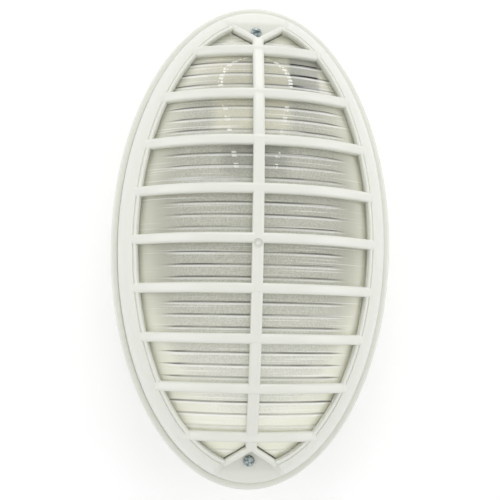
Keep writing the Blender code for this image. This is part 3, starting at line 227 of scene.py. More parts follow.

# Looks of the clear plastic: lines at the ribs, a dark line of painted shade on each rib's upper
# side and a bright line of painted highlight on its lower side, and fades from one X or Z to
# another, the ribs' own with how much of a line is left at each
RIB_LEAN = 2.5
RIB_LINE_EDGE = 0.35 * MM
DARK_LINE_OFFSET = 0.55 * MM
DARK_LINE_HALF_WIDTH = 0.75 * MM
BRIGHT_LINE_HALF_WIDTH = 0.7 * MM
# Black lines of painted shade over the terminal pockets: their half width and strength
TERMINAL_SHADE_HALF_WIDTH = 1.1 * MM
TERMINAL_SHADE_CONTRAST = 1.7
LOW_RIB_FADE = (-108 * MM, -86 * MM, 0.2, 1.0)
HIGH_RIB_FADE = (112 * MM, 106 * MM, 0.3, 1.0)
STIPPLE_FADE = (56 * MM, 40 * MM)
# Span of Z over which the glass is painted lighter downwards, as painted light
LOWER_HALF = (0.0, -110 * MM)
FOOT_ZONE = (-88 * MM, -108 * MM)
LOW_HOLDER_FADE = (86 * MM, 72 * MM)
STREAK_SCALE = (0.012, 0.0, 1.0)
STREAK_SPAN = (0.60, 0.70)
GRAIN_SIZE = 0.9 * MM
SPECKLE_SPAN = (0.40, 0.60)
OUTER_SPAN = (0.35, 0.92)
EDGE_SPAN = (0.55, 0.95)

# What shows through it, painted on: painted shade at the terminal pockets, painted shadow
# below the lampholder's mouth, and the porcelain's cream; spans of X, spans of Z and the width
# of their soft edges
TERMINAL_SHADE_SEEN = ((18 * MM, 36 * MM), (80 * MM, 108 * MM), 2 * MM)
MOUTH_SHADOW_SEEN = ((-20 * MM, 17 * MM), (36 * MM, 56 * MM), 4 * MM)
PORCELAIN_SEEN = ((-25 * MM, 18 * MM), (60 * MM, 106 * MM), 4 * MM)

# How much each field adds to its mirror-like share and to how much it hides
PLAIN_SATIN = 0.14
SATIN_WEIGHTS = {"lower": 0.28, "outer": 0.10, "foot": 0.22, "behind": -0.10}
PLAIN_COVER = 0.44
COVER_WEIGHTS = {"lower": 0.42, "outer": 0.20, "edge": 0.25, "dark": 0.35, "painted_highlight": 0.30,
                 "terminal_shade_lines": 0.30, "glints": 0.35, "low_holder": 0.22, "speckle": 0.05}

# Studio
AMBIENT = 0.66
PAPER_GLOW = 0.28
PAPER_REACH = 2.0
PAPER_WALL_Y = 0.5 * MM
PAPER_FRONT_Y = -2.5
PAPER_FLOOR_Z = -0.32
PAPER_TOP_Z = 1.8
CAMERA_LENS = 75.95
CAMERA_PLACE = (-0.04377, -(LIP_DEPTH + 0.61827), -0.04972)
CAMERA_TURNS = (("Z", -0.0168), ("X", -0.0753), ("Y", 0.0694))
LAMP_AIM = (0.0, -0.04, 0.0)
LAMPS = (
    ("key", (0.05, -0.75, 1.20), 0.75, 4.2),
    ("left_fill", (-1.20, -0.65, 0.0), 0.9, 3.0),
    ("right_fill", (1.20, -0.65, 0.0), 0.9, 3.0),
)

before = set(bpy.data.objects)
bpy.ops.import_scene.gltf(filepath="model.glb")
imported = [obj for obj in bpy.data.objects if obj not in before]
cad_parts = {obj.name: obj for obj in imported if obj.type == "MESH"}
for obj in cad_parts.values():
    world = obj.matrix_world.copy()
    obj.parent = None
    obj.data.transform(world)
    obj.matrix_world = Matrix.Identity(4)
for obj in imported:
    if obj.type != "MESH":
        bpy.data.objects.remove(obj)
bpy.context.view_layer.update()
scene = bpy.context.scene


def link(item):
    """Put an object in the scene."""
    scene.collection.objects.link(item)
    return item


def finish_mesh(builder, name, sharp_angle=38):
    """Turn a bmesh into a mesh with outward faces, smooth but for its sharp edges."""
    bmesh.ops.recalc_face_normals(builder, faces=builder.faces)
    mesh = bpy.data.meshes.new(name)
    builder.to_mesh(mesh)
    builder.free()
    mesh.shade_smooth()
    mesh.set_sharp_from_angle(angle=math.radians(sharp_angle))
    return mesh


def loft(name, sections, closed=False, triangles=False):
    """Skin a row of point loops: a closed row makes a ring, an open one gets flat ends."""
    builder = bmesh.new()
    loops = [[builder.verts.new(point) for point in section] for section in sections]
    pairs = list(zip(loops, loops[1:]))
    if closed:
        pairs.append((loops[-1], loops[0]))
    for first, second in pairs:
        for index, corner in enumerate(first):
            following = (index + 1) % len(first)
            builder.faces.new((corner, first[following], second[following], second[index]))
    if not closed:
        builder.faces.new(loops[0])
        builder.faces.new(loops[-1])
    if triangles:
        bmesh.ops.triangulate(builder, faces=builder.faces)
    return finish_mesh(builder, name)


def merge(base_mesh, steps, name, sharp_angle=38):
    """One mesh from a base and a list of (operation, mesh) steps, by Boolean."""
    item = link(bpy.data.objects.new(name, base_mesh))
    tools = []
    for index, (operation, mesh) in enumerate(steps):
        tool = link(bpy.data.objects.new(f"{name}_tool_{index}", mesh))
        tools.append(tool)
        boolean = item.modifiers.new(tool.name, "BOOLEAN")
        boolean.operation = operation
        boolean.solver = "MANIFOLD"
        boolean.object = tool
    bpy.context.view_layer.update()
    graph = bpy.context.evaluated_depsgraph_get()
    joined = bpy.data.meshes.new_from_object(item.evaluated_get(graph))
    for spare in tools + [item]:
        bpy.data.objects.remove(spare)
    joined.name = name
    joined.shade_smooth()
    joined.set_sharp_from_angle(angle=math.radians(sharp_angle))
    return joined


def place_piece(name, mesh, material, slot, *nodes):
    """Show a mesh as a piece that stands for the named solids."""
    mesh.materials.clear()
    mesh.materials.append(material)
    piece = link(bpy.data.objects.new(name, mesh))
    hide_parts(*nodes)
    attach(piece, BODY)
    return piece


def oval_plan(inset):
    """X and Z round one oval, in steps that are closer together at its two ends."""
    plan = []
    for step in range(RING_POINTS):
        even = 2 * math.pi * step / RING_POINTS
        angle = even + RING_CROWDING * math.sin(2 * even)
        plan.append(((HALF_WIDTH - inset) * math.cos(angle), (HALF_HEIGHT - inset) * math.sin(angle)))
    return plan


def oval_ring(inset, depth):
    """A loop of points on one oval, at one depth."""
    return [(x, -depth, z) for x, z in oval_plan(inset)]


def oval_edge_z(inset, x):
    """Height above the middle of an oval's edge at one X."""
    share = x / (HALF_WIDTH - inset)
    return (HALF_HEIGHT - inset) * math.sqrt(max(1 - share * share, 0))


def arc(centre, radius, start, end, steps):
    """Points along a circular arc, angles in degrees."""
    points = []
    for step in range(steps + 1):
        angle = math.radians(start + (end - start) * step / steps)
        points.append((centre[0] + radius * math.cos(angle), centre[1] + radius * math.sin(angle)))
    return points


def prism(name, plan, back, front):
    """A solid over a plan of X and Z points, between two depths."""
    return loft(name, [[(x, -depth, z) for x, z in plan] for depth in (back, front)])


def wall_cylinder(name, x, z, radius, back, front, sides=48):
    """A cylinder that runs straight out of the wall from one depth to another."""
    return prism(name, arc((x, z), radius, 0, 360 * (sides - 1) / sides, sides - 1), back, front)


def turned(name, profile, matrix, steps):
    """A solid turned about its own Z from a profile of radius and height."""
    builder = bmesh.new()
    verts = [builder.verts.new((radius, 0, height)) for radius, height in profile]
    edges = [builder.edges.new(pair) for pair in zip(verts, verts[1:])]
    bmesh.ops.spin(builder, geom=verts + edges, cent=(0, 0, 0), axis=(0, 0, 1),
                   angle=2 * math.pi, steps=steps, use_merge=True)
    bmesh.ops.remove_doubles(builder, verts=builder.verts, dist=0.001 * MM)
    bmesh.ops.transform(builder, matrix=matrix, verts=builder.verts)
    return finish_mesh(builder, name)


def dome_depth(x, z):
    """Depth of the cage's front surface."""
    across = x / (HALF_WIDTH - OPENING_INSET)
    along = z / (HALF_HEIGHT - OPENING_INSET)
    rise = CROWN_RISE - OPENING_RISE
    return LIP_DEPTH + OPENING_RISE + rise * (1 - math.hypot(across, along) ** DOME_POWER)


# Node helpers, for materials and for shapes

class Term:
    """A value that nodes work out, so that sums in a node tree read like plain sums."""

    def __init__(self, socket):
        self.socket = socket
        self.tree = socket.id_data

    def __add__(self, other):
        return calc("ADD", self, other)

    def __sub__(self, other):
        return calc("SUBTRACT", self, other)

    def __rsub__(self, other):
        return calc("SUBTRACT", other, self)

    def __mul__(self, other):
        return calc("MULTIPLY", self, other)

    def __truediv__(self, other):
        return calc("DIVIDE", self, other)

    def __pow__(self, other):
        return calc("POWER", self, other)

    def __abs__(self):
        return calc("ABSOLUTE", self)


def feed(socket, value):
    """Give a socket a plain value, or link it to a term or to a node's first output."""
    if isinstance(value, bpy.types.Node):
        value = Term(value.outputs[0])
    if isinstance(value, Term):
        value.tree.links.new(value.socket, socket)
    else:
        socket.default_value = value


def give(node, inputs):
    """Feed several inputs of a node, by name or by number."""
    for key, value in inputs.items():
        feed(node.inputs[key], value)


def add_node(tree, kind, inputs=None, **settings):
    """A node with its settings and its inputs."""
    node = tree.nodes.new(kind)
    for key, value in settings.items():
        setattr(node, key, value)
    give(node, inputs or {})
    return node


def calc(operation, *values, clamp=False):
    """The result of one sum of numbers and terms, held between 0 and 1 when clamped."""
    tree = next(value.tree for value in values if isinstance(value, Term))
    node = add_node(tree, "ShaderNodeMath", dict(enumerate(values)), operation=operation)
    node.use_clamp = clamp
    return Term(node.outputs[0])


def parts_of(vector):
    """The three numbers of a vector."""
    node = add_node(vector.tree, "ShaderNodeSeparateXYZ", {0: vector})
    return [Term(socket) for socket in node.outputs]


def node_point(tree):
    """The numbers of each point's own position."""
    return parts_of(Term(tree.nodes.new("GeometryNodeInputPosition").outputs[0]))


def move_to(shape, x, y, z):
    """A shape with its points moved to the worked-out places."""
    point = add_node(x.tree, "ShaderNodeCombineXYZ", {0: x, 1: y, 2: z})
    return add_node(x.tree, "GeometryNodeSetPosition", {"Geometry": shape, "Position": point})


def dome_rise(x, z, given):
    """Depth of the dome at X and Z, from the tree's named sizes."""
    across = (x / given["Opening Half Width"]) ** 2.0
    along = (z / given["Opening Half Height"]) ** 2.0
    fall = calc("SQRT", across + along) ** given["Dome Power"]
    return (1.0 - fall) * given["Crown Rise"] + given["Rim Depth"]


DOME_SIZES = {
    "Opening Half Width": HALF_WIDTH - OPENING_INSET,
    "Opening Half Height": HALF_HEIGHT - OPENING_INSET,
    "Rim Depth": LIP_DEPTH + OPENING_RISE,
    "Crown Rise": CROWN_RISE - OPENING_RISE,
    "Dome Power": DOME_POWER,
}


def shape_tree(name, sizes, counts):
    """A Geometry Nodes tree and its inputs, one for each named size and each count."""
    tree = bpy.data.node_groups.new(name, "GeometryNodeTree")
    for labels, kind in ((sizes, "NodeSocketFloat"), (counts, "NodeSocketInt")):
        for label, value in labels.items():
            socket = tree.interface.new_socket(label, in_out="INPUT", socket_type=kind)
            socket.default_value = value
    tree.interface.new_socket("Material", in_out="INPUT", socket_type="NodeSocketMaterial")
    tree.interface.new_socket("Geometry", in_out="OUTPUT", socket_type="NodeSocketGeometry")
    return tree, {item.name: Term(item) for item in tree.nodes.new("NodeGroupInput").outputs}


def end_tree(tree, shape, material):
    """Close a tree with Realize Instances and Set Material."""
    real = add_node(tree, "GeometryNodeRealizeInstances", {"Geometry": shape})
    dressed = add_node(tree, "GeometryNodeSetMaterial", {"Geometry": real, "Material": material})
    add_node(tree, "NodeGroupOutput", {"Geometry": dressed})
    return tree


def run_tree(name, tree, values):
    """The plain mesh that a tree makes with these values for its inputs."""
    holder = link(bpy.data.objects.new(name, bpy.data.meshes.new(name)))
    modifier = holder.modifiers.new("shape", "NODES")
    modifier.node_group = tree
    for item in tree.interface.items_tree:
        if item.in_out == "INPUT" and item.name in values:
            modifier[item.identifier] = values[item.name]
    bpy.context.view_layer.update()
    graph = bpy.context.evaluated_depsgraph_get()
    mesh = bpy.data.meshes.new_from_object(holder.evaluated_get(graph))
    bpy.data.objects.remove(holder)
    return mesh


def level_bars_tree():
    """Tree that sweeps a rounded section along each level bar's path over the dome."""
    sizes = {**DOME_SIZES, "Pitch": BAR_PITCH, "Width": BAR_WIDTH, "Depth": BAR_DEPTH,
             "Edge Radius": BAR_ROUND, "End Overlap": BAR_OVERLAP, "End Length": BAR_END_LENGTH,
             "End Flare": BAR_END_FLARE, "End Lift": BAR_END_LIFT, "End Drop": BAR_END_DROP,
             "End Narrowing": BAR_END_NARROWING, "Nose Power": BAR_NOSE_POWER}
    tree, given = shape_tree("level_bars", sizes, {"Bars": BAR_COUNT, "Steps": BAR_STEPS})
    line = add_node(tree, "GeometryNodeCurvePrimitiveLine", {"Start": (-1, 0, 0), "End": (1, 0, 0)})
    fine = add_node(tree, "GeometryNodeResampleCurve", {"Curve": line, "Count": given["Steps"]})
    copies = add_node(tree, "GeometryNodeDuplicateElements",
                      {"Geometry": fine, "Amount": given["Bars"]}, domain="SPLINE")
    share = node_point(tree)[0]
    order = Term(copies.outputs["Duplicate Index"]) - (given["Bars"] * 0.5 - 0.5)
    z = order * given["Pitch"]
    left_over = 1.0 - (z / given["Opening Half Height"]) ** 2.0
    half = calc("SQRT", left_over) * given["Opening Half Width"]
    x = share * (half + given["End Overlap"])
    past = abs(x) - (half - given["End Length"])
    along_end = calc("DIVIDE", past, given["End Length"] + given["End Overlap"], clamp=True)
    end_share = along_end ** 2.0
    nose = along_end ** given["Nose Power"]
    sink = nose * given["End Drop"] - end_share * given["End Lift"]
    y = given["Depth"] * 0.5 - dome_rise(x, z, given) + sink
    path = move_to(copies, x, y, z)
    flare = end_share * given["End Flare"] + 1.0 - nose * given["End Narrowing"]
    flared = add_node(tree, "GeometryNodeSetCurveRadius", {"Curve": path, "Radius": flare})
    level = add_node(tree, "GeometryNodeSetCurveNormal", {"Curve": flared}, mode="Z_UP")
    box = add_node(tree, "GeometryNodeCurvePrimitiveQuadrilateral",
                   {"Width": given["Depth"], "Height": given["Width"]})
    section = add_node(tree, "GeometryNodeFilletCurve",
                       {"Curve": box, "Count": 4, "Radius": given["Edge Radius"]}, mode="POLY")
    bars = add_node(tree, "GeometryNodeCurveToMesh",
                    {"Curve": level, "Profile Curve": section, "Fill Caps": True})
    return end_tree(tree, bars, given["Material"])


def ribbed_dome_tree():
    """Tree that shapes a grid into the diffuser's dome, with raised level ribs."""
    sizes = {**DOME_SIZES, "Half Width": HALF_WIDTH, "Half Height": HALF_HEIGHT,
             "Drop": DIFFUSER_DROP, "Rib Pitch": RIB_PITCH, "Rib Height": RIB_HEIGHT,
             "Rib Offset": RIB_OFFSET, "Rib Half Width": RIB_HALF_WIDTH,
             "Rib Reach": RIB_REACH, "Rib Taper": RIB_TAPER}
    tree, given = shape_tree("ribbed_dome", sizes, {"Columns": 40, "Rows": 700})
    grid = add_node(tree, "GeometryNodeMeshGrid", {
        "Size X": 2.0, "Size Y": 2.0, "Vertices X": given["Columns"], "Vertices Y": given["Rows"]})
    column, row, _ = node_point(tree)
    z = row * given["Half Height"]
    x = column * (calc("SQRT", 1.0 - row ** 2.0) * given["Half Width"])
    plain = dome_rise(x, z, given) - given["Drop"]
    pitch = given["Rib Pitch"]
    offset = calc("WRAP", z - given["Rib Offset"], pitch * 0.5, pitch * -0.5)
    crest = calc("SUBTRACT", 1.0, (offset / given["Rib Half Width"]) ** 2.0, clamp=True)
    taper = calc("DIVIDE", given["Rib Reach"] - abs(x), given["Rib Taper"], clamp=True)
    y = (plain + crest * taper * given["Rib Height"]) * -1.0
    return end_tree(tree, move_to(grid, x, y, z), given["Material"])


# Cage

def shoulder_point(turn_angle, wall=0.0):
    """A point of the cage rim's curved shoulder, or of its inner face when a wall is given."""
    inset = CAGE_INSET + SHOULDER_REACH * (1 - math.cos(turn_angle))
    depth = LIP_DEPTH + SHOULDER_STEP + SHOULDER_RISE * math.sin(turn_angle)
    return inset + wall * math.cos(turn_angle), depth - wall * math.sin(turn_angle)


def ease(share):
    """A share of 0 to 1 with a smooth start and end."""
    held = min(max(share, 0.0), 1.0)
    return held * held * (3 - 2 * held)


def pocket_depth(x, z, inset, wall):
    """Depth of a screw pocket's floor or underside: level in the V, climbing beside it."""
    side = abs(x) * math.cos(TAB_HALF_ANGLE)
    beside = side - (abs(z) - TAB_APEX_Z) * math.sin(TAB_HALF_ANGLE) - wall * POCKET_WALL_SHARE
    flare = POCKET_FLARE * max(0.0, (OPENING_INSET - inset) / (OPENING_INSET - CAGE_INSET))
    climb = POCKET_RISE * ease(beside / (POCKET_STEP + flare) + 0.5)
    fall = POCKET_FALL * max(0.0, abs(z) - SCREW_Z - SEAT_EDGE)
    return TAB_FRONT - POCKET_DROP - wall - fall + climb


def rim_ring(inset, depth, wall, lowest=0.0):
    """A ring of the rim that keeps a wall's thickness behind the screw pockets."""
    loop = []
    for x, z in oval_plan(inset):
        over = depth - max(pocket_depth(x, z, inset, wall), lowest)
        sunk = (over + math.hypot(over, POCKET_SOFTNESS)) / 2
        loop.append((x, -(depth - sunk), z))
    return loop


def rim_rings(steps=16):
    """The rings round the cage rim's section, starting at the foot."""
    turns = [SHOULDER_TURN * step / steps for step in range(steps + 1)]
    edge = arc((CAGE_INSET - FOOT_BULGE + EDGE_ROUND, LIP_DEPTH + SHOULDER_STEP - EDGE_ROUND),
               EDGE_ROUND, 180, 100, 4)
    outside = [shoulder_point(turn_angle) for turn_angle in turns[1:]]
    inside = [shoulder_point(turn_angle, CAGE_WALL) for turn_angle in reversed(turns[1:])]
    groove_inset, groove_depth = outside[-1]
    groove = [(groove_inset - BEAD_GROOVE / 3, groove_depth - BEAD_GROOVE)]
    outside[-1] = (groove_inset - BEAD_GROOVE, groove_depth - BEAD_GROOVE / 2)
    crest_inset = BEAD_CREST_INSET - BEAD_FACE_RADIUS
    crest_depth = LIP_DEPTH + OPENING_RISE - BEAD_DROP + BEAD_RADIUS - BEAD_FACE_RADIUS
    bead = arc((crest_inset, crest_depth), BEAD_FACE_RADIUS, 175, -10, 12)
    step_inset, step_depth = bead[-1]
    skirt_inset = step_inset + SKIRT_STEP
    step = [(step_inset, step_depth - SKIRT_STEP), (skirt_inset, step_depth - SKIRT_STEP)]
    skirt_back = dome_depth(HALF_WIDTH - skirt_inset, 0) - DIFFUSER_DROP + SEAT_GAP / 2
    skirt = [(skirt_inset, skirt_back), (skirt_inset - SKIRT_WALL, skirt_back)]
    foot_inner = CAGE_INSET + CAGE_FOOT
    clamp_inner = foot_inner + CLAMP_RIB
    clamp_front = CLAMP_DEPTH + CLAMP_RIB_HEIGHT
    clamp = [
        (clamp_inner, clamp_front),
        (clamp_inner, CLAMP_DEPTH),
        (foot_inner, CLAMP_DEPTH),
        (foot_inner, SEAT_DEPTH + SEAT_GAP),
        (CAGE_INSET, SEAT_DEPTH + SEAT_GAP),
    ]
    rings = [oval_ring(*point) for point in edge]
    rings += [rim_ring(*point, 0.0) for point in outside + groove + bead + step]
    rings += [rim_ring(*point, TAB_FLOOR, clamp_front + SEAT_GAP) for point in skirt + inside]
    return rings + [oval_ring(*point) for point in clamp]


def rounded_section(half_width, back, front, radius, steps=4):
    """Across and depth of a bar's section with its front edges rounded."""
    side = [(half_width, back)]
    side += arc((half_width - radius, front - radius), radius, 0, 90, steps)
    return side + [(-across, depth) for across, depth in reversed(side)]


def upright_bar(steps=110):
    """The bar that runs from one screw tab to the other."""
    reach = TAB_APEX_Z + TAB_WALL / 2
    sections = []
    for step in range(steps + 1):
        z = reach * (2 * step / steps - 1)
        front = dome_depth(0, z)
        section = rounded_section(UPRIGHT_WIDTH / 2, front - BAR_DEPTH, front, BAR_ROUND)
        sections.append([(across, -depth, z) for across, depth in section])
    return loft("upright_bar", sections)


def wall_section(middle, across, share, front):
    """A round-topped section of a tab's wall, narrowed by a share."""
    half = TAB_WALL / 2 * share
    loop = []
    for offset, depth in rounded_section(half, TAB_BACK + SEAT_GAP, front, half * TAB_CREST_ROUND):
        point = middle + across * offset
        loop.append((point.x, -depth, point.y))
    return loop


def tab_wall(end, steps=20):
    """The V-shaped wall of a screw tab, with its apex on the upright bar and rounded ends."""
    apex = Vector((0, end * TAB_APEX_Z))
    length = TAB_ARM_REACH + TAB_WALL / 2
    sides = []
    for hand in (-1, 1):
        run = Vector((hand * math.sin(TAB_HALF_ANGLE), end * math.cos(TAB_HALF_ANGLE)))
        across = Vector((-hand * math.cos(TAB_HALF_ANGLE), end * math.sin(TAB_HALF_ANGLE)))
        side = []
        for step in range(1, steps + 1):
            along = length * math.sin(math.pi / 2 * step / steps)
            middle = apex + run * along
            past = max(0.0, along - (length - TAB_END)) / TAB_END
            fall = math.sqrt(max(1 - past * past, 0))
            share = TAB_END_SHARE + (1 - TAB_END_SHARE) * fall
            crest = dome_depth(middle.x, middle.y) - TAB_CREST_DROP
            front = TAB_FRONT + (crest - TAB_FRONT) * share
            side.append(wall_section(middle, across, share, front))
        sides.append(side)
    left, right = sides
    mitre = wall_section(apex, Vector((0, end / math.sin(TAB_HALF_ANGLE))), 1.0,
                         dome_depth(0, apex.y) - TAB_CREST_DROP)
    return loft(f"tab_wall_{end}", left[::-1] + [mitre] + right)


def tab_plate(end, columns=24, rows=20):
    """The floor inside a tab's V, from its apex out over the rim's inner edge."""
    outer_inset = OPENING_INSET - BEAD_RADIUS
    half_width = TAB_ARM_REACH * math.sin(TAB_HALF_ANGLE)
    sections = []
    for column in range(columns + 1):
        x = half_width * (2 * column / columns - 1)
        near = TAB_APEX_Z + abs(x) / math.tan(TAB_HALF_ANGLE)
        far = oval_edge_z(outer_inset, x)
        front = []
        for row in range(rows + 1):
            z = near + (far - near) * row / rows
            front.append((pocket_depth(0, z, outer_inset, 0.0) + POCKET_DROP, z))
        back = [(depth - TAB_FLOOR, z) for depth, z in reversed(front)]
        sections.append([(x, -depth, end * z) for depth, z in front + back])
    return loft(f"tab_plate_{end}", sections)


def make_cage(material):
    """The one-piece cage: rim, level bars, upright bar, screw tabs and gate mark."""
    rim = loft("cage_rim", rim_rings(), closed=True, triangles=True)
    bars = run_tree("level_bars", level_bars_tree(), {"Material": material})
    steps = [("UNION", bars), ("UNION", upright_bar())]
    cuts = []
    for end in (1, -1):
        steps += [("UNION", tab_wall(end)), ("UNION", tab_plate(end))]
        spacer = wall_cylinder("tab_spacer", 0, end * SCREW_Z, TAB_SPACER_RADIUS, CLAMP_DEPTH,
                               TAB_BACK + SEAT_GAP)
        bore = wall_cylinder("tab_bore", 0, end * SCREW_Z, SCREW_BORE_RADIUS, SEAT_DEPTH,
                             BORE_FRONT)
        steps.append(("UNION", spacer))
        cuts.append(("DIFFERENCE", bore))
    crown = dome_depth(0, GATE_MARK_Z)
    mark = wall_cylinder("gate_mark", 0, GATE_MARK_Z, GATE_MARK_RADIUS, crown - GATE_MARK_DEPTH,
                         crown + BAR_DEPTH)
    nub = wall_cylinder("gate_nub", 0, GATE_MARK_Z, GATE_NUB_RADIUS, crown - BAR_DEPTH / 2,
                        crown - GATE_NUB_DROP, sides=20)
    steps += cuts + [("DIFFERENCE", mark), ("UNION", nub)]
    mesh = merge(rim, steps, "moulded_cage")
    return place_piece("moulded_cage", mesh, material, "white_plastic", "cage")


# Base

def base_profile():
    """Inset and depth of the tray, from the wall face round the lip and in to the floor."""
    flange_back = SEAT_DEPTH - FLANGE_THICKNESS
    rib_front = SEAT_DEPTH + GASKET_RIB_HEIGHT
    tray_back = TRAY_INSET + TRAY_DRAFT
    wall_inner = tray_back + TRAY_WALL
    roll = (LIP_DEPTH - flange_back) * LIP_ROLL_SHARE
    return [
        (tray_back + TRAY_EDGE, 0),
        (tray_back + TRAY_EDGE / 4, TRAY_EDGE / 4),
        (tray_back, TRAY_EDGE),
        (TRAY_INSET, flange_back - TRAY_EDGE),
        (TRAY_INSET - TRAY_EDGE, flange_back),
        *arc((roll, flange_back + roll), roll, 270, 180, 8),
        *arc((roll, LIP_DEPTH - roll), roll, 180, 90, 8),
        *[(LIP_WIDTH - inward, LIP_DEPTH - back) for inward, back in LIP_EDGE_STEPS],
        (LIP_WIDTH, SEAT_DEPTH),
        (GASKET_RIB_INSET, SEAT_DEPTH),
        (GASKET_RIB_INSET, rib_front),
        (GASKET_RIB_INSET + GASKET_RIB_WIDTH, rib_front),
        (wall_inner, TRAY_FLOOR + FLOOR_FILLET),
        (wall_inner + FLOOR_FILLET_MIDDLE, TRAY_FLOOR + FLOOR_FILLET_MIDDLE),
        (wall_inner + FLOOR_FILLET, TRAY_FLOOR),
    ]


def slot_plan():
    """Plan of the adjustable wall-fixing hole, a slot with round ends."""
    half = FIXING_SLOT_LENGTH / 2
    right = arc((FIXING_X + half, -FIXING_Z), FIXING_HOLE_RADIUS, -90, 90, 16)
    left = arc((FIXING_X - half, -FIXING_Z), FIXING_HOLE_RADIUS, 90, 270, 16)
    return right + left


def base_posts():
    """Pads and bosses that stand on the tray's floor: name, X, Z, radius and front."""
    pad_front = TRAY_FLOOR + FIXING_PAD_HEIGHT
    slot_radius = FIXING_PAD_RADIUS + FIXING_SLOT_LENGTH / 2
    rows = [("fixing_pad", -FIXING_X, FIXING_Z, FIXING_PAD_RADIUS, pad_front),
            ("slot_pad", FIXING_X, -FIXING_Z, slot_radius, pad_front)]
    rows += [("screw_boss", 0, end * SCREW_Z, SCREW_BOSS_RADIUS, FLANGE_BACK - SEAT_GAP)
             for end in (1, -1)]
    rows += [("bracket_boss", hand * BRACKET_SCREW_X, BRACKET_SCREW_Z, BRACKET_BOSS_RADIUS,
              TRAY_FLOOR + BRACKET_BOSS_HEIGHT) for hand in (-1, 1)]
    return rows


def base_bores():
    """Round holes of the tray: name, X, Z, radius, back and front."""
    through = TRAY_FLOOR * 3
    screw_end = SCREW_HEAD_DEPTH - CAGE_SCREW_LENGTH - SEAT_GAP * 3
    bracket_end = TRAY_FLOOR + BRACKET_BOSS_HEIGHT - BRACKET_BORE_LENGTH
    rows = [("fixing_hole", -FIXING_X, FIXING_Z, FIXING_HOLE_RADIUS, -through, through),
            ("cable_hole", 0, CABLE_HOLE_Z, CABLE_HOLE_RADIUS, -through, through)]
    rows += [("screw_bore", 0, end * SCREW_Z, SCREW_BORE_RADIUS, screw_end, BORE_FRONT)
             for end in (1, -1)]
    rows += [("bracket_bore", hand * BRACKET_SCREW_X, BRACKET_SCREW_Z, BRACKET_BORE_RADIUS,
              bracket_end, LIP_DEPTH) for hand in (-1, 1)]
    return rows


def make_base(material):
    """The moulded tray with its bosses, fixing holes and cable entry."""
    tray = loft("base_tray", [oval_ring(*point) for point in base_profile()])
    through = TRAY_FLOOR * 3
    slot = prism("fixing_slot", slot_plan(), -through, through)
    round_hole, *bores = [wall_cylinder(*row) for row in base_bores()]
    steps = [("UNION", wall_cylinder(name, x, z, radius, TRAY_FLOOR / 2, front))
             for name, x, z, radius, front in base_posts()]
    steps += [("DIFFERENCE", hole) for hole in (round_hole, slot, *bores)]
    mesh = merge(tray, steps, "moulded_base")
    return place_piece("moulded_base", mesh, material, "white_plastic", "base")


# Diffuser

def close_block(mesh, name, back):
    """Close a dome-shaped sheet into a solid with straight sides and a flat back."""
    builder = bmesh.new()
    builder.from_mesh(mesh)
    bmesh.ops.remove_doubles(builder, verts=builder.verts, dist=0.005 * MM)
    edge = [item for item in builder.edges if item.is_boundary]
    grown = bmesh.ops.extrude_edge_only(builder, edges=edge)["geom"]
    for item in grown:
        if isinstance(item, bmesh.types.BMVert):
            item.co.y = -back
    open_edges = [item for item in builder.edges if item.is_boundary]
    bmesh.ops.holes_fill(builder, edges=open_edges, sides=0)
    return finish_mesh(builder, name)


def notch_column(name, end, clearance, back):
    """The V-shaped column that a screw tab needs, from one depth out past the crown."""
    tip = TAB_APEX_Z - (TAB_WALL / 2 + clearance) / math.sin(TAB_HALF_ANGLE)
    outer = HALF_HEIGHT + clearance
    half = (outer - tip) * math.tan(TAB_HALF_ANGLE)
    plan = [(0, end * tip), (half, end * outer), (-half, end * outer)]
    return prism(name, plan, back, LIP_DEPTH + CROWN_RISE * 2)


def dome_block(name, tree, inset, back, changes):
    """A solid under the dome's surface at one inset, straight-sided and flat at the back."""
    sizes = {"Half Width": HALF_WIDTH - inset, "Half Height": HALF_HEIGHT - inset, **changes}
    return close_block(run_tree(name, tree, sizes), name, back)


def make_diffuser(material):
    """The clear dome: a ribbed outer block less an inner block, with flange and notches."""
    tree = ribbed_dome_tree()
    lift = SEAT_GAP / 2
    outer = dome_block("dome_outside", tree, DIFFUSER_INSET, FLANGE_BACK + lift, {})
    inner = dome_block("dome_inside", tree, DIFFUSER_INSET + DIFFUSER_WALL, SEAT_DEPTH, {
        "Drop": DIFFUSER_DROP + DIFFUSER_WALL, "Rib Height": 0.0, "Columns": 24, "Rows": 90})
    mid_wall = DIFFUSER_INSET + DIFFUSER_WALL / 2
    flange_profile = ((FLANGE_INSET, FLANGE_BACK), (FLANGE_INSET, FLANGE_FRONT),
                      (mid_wall, FLANGE_FRONT), (mid_wall, FLANGE_BACK))
    flange = loft("diffuser_flange", [oval_ring(*point) for point in flange_profile], closed=True)
    walls = []
    notches = []
    bores = []
    for end in (1, -1):
        wall = notch_column("notch_wall", end, NOTCH_CLEARANCE + DIFFUSER_WALL, 0)
        notch = notch_column("notch", end, NOTCH_CLEARANCE, FLANGE_FRONT - lift)
        bore = wall_cylinder("diffuser_bore", 0, end * SCREW_Z, DIFFUSER_BORE_RADIUS, SEAT_DEPTH,
                             BORE_FRONT)
        walls.append(("DIFFERENCE", wall))
        notches.append(("DIFFERENCE", notch))
        bores.append(("DIFFERENCE", bore))
    hollow = merge(inner, walls, "dome_hollow")
    steps = notches + [("DIFFERENCE", hollow), ("UNION", flange)] + bores
    mesh = merge(outer, steps, "ribbed_diffuser", sharp_angle=50)
    return place_piece("ribbed_diffuser", mesh, material, "clear_plastic", "diffuser")


# Screws

def box(name, low, high, matrix):
    """A placed box between two corners."""
    builder = bmesh.new()
    bmesh.ops.create_cube(builder, size=1.0)
    size = [b - a for a, b in zip(low, high)]
    centre = [(a + b) / 2 for a, b in zip(low, high)]
    bmesh.ops.scale(builder, vec=size, verts=builder.verts)
    bmesh.ops.translate(builder, vec=centre, verts=builder.verts)
    bmesh.ops.transform(builder, matrix=matrix, verts=builder.verts)
    return finish_mesh(builder, name)


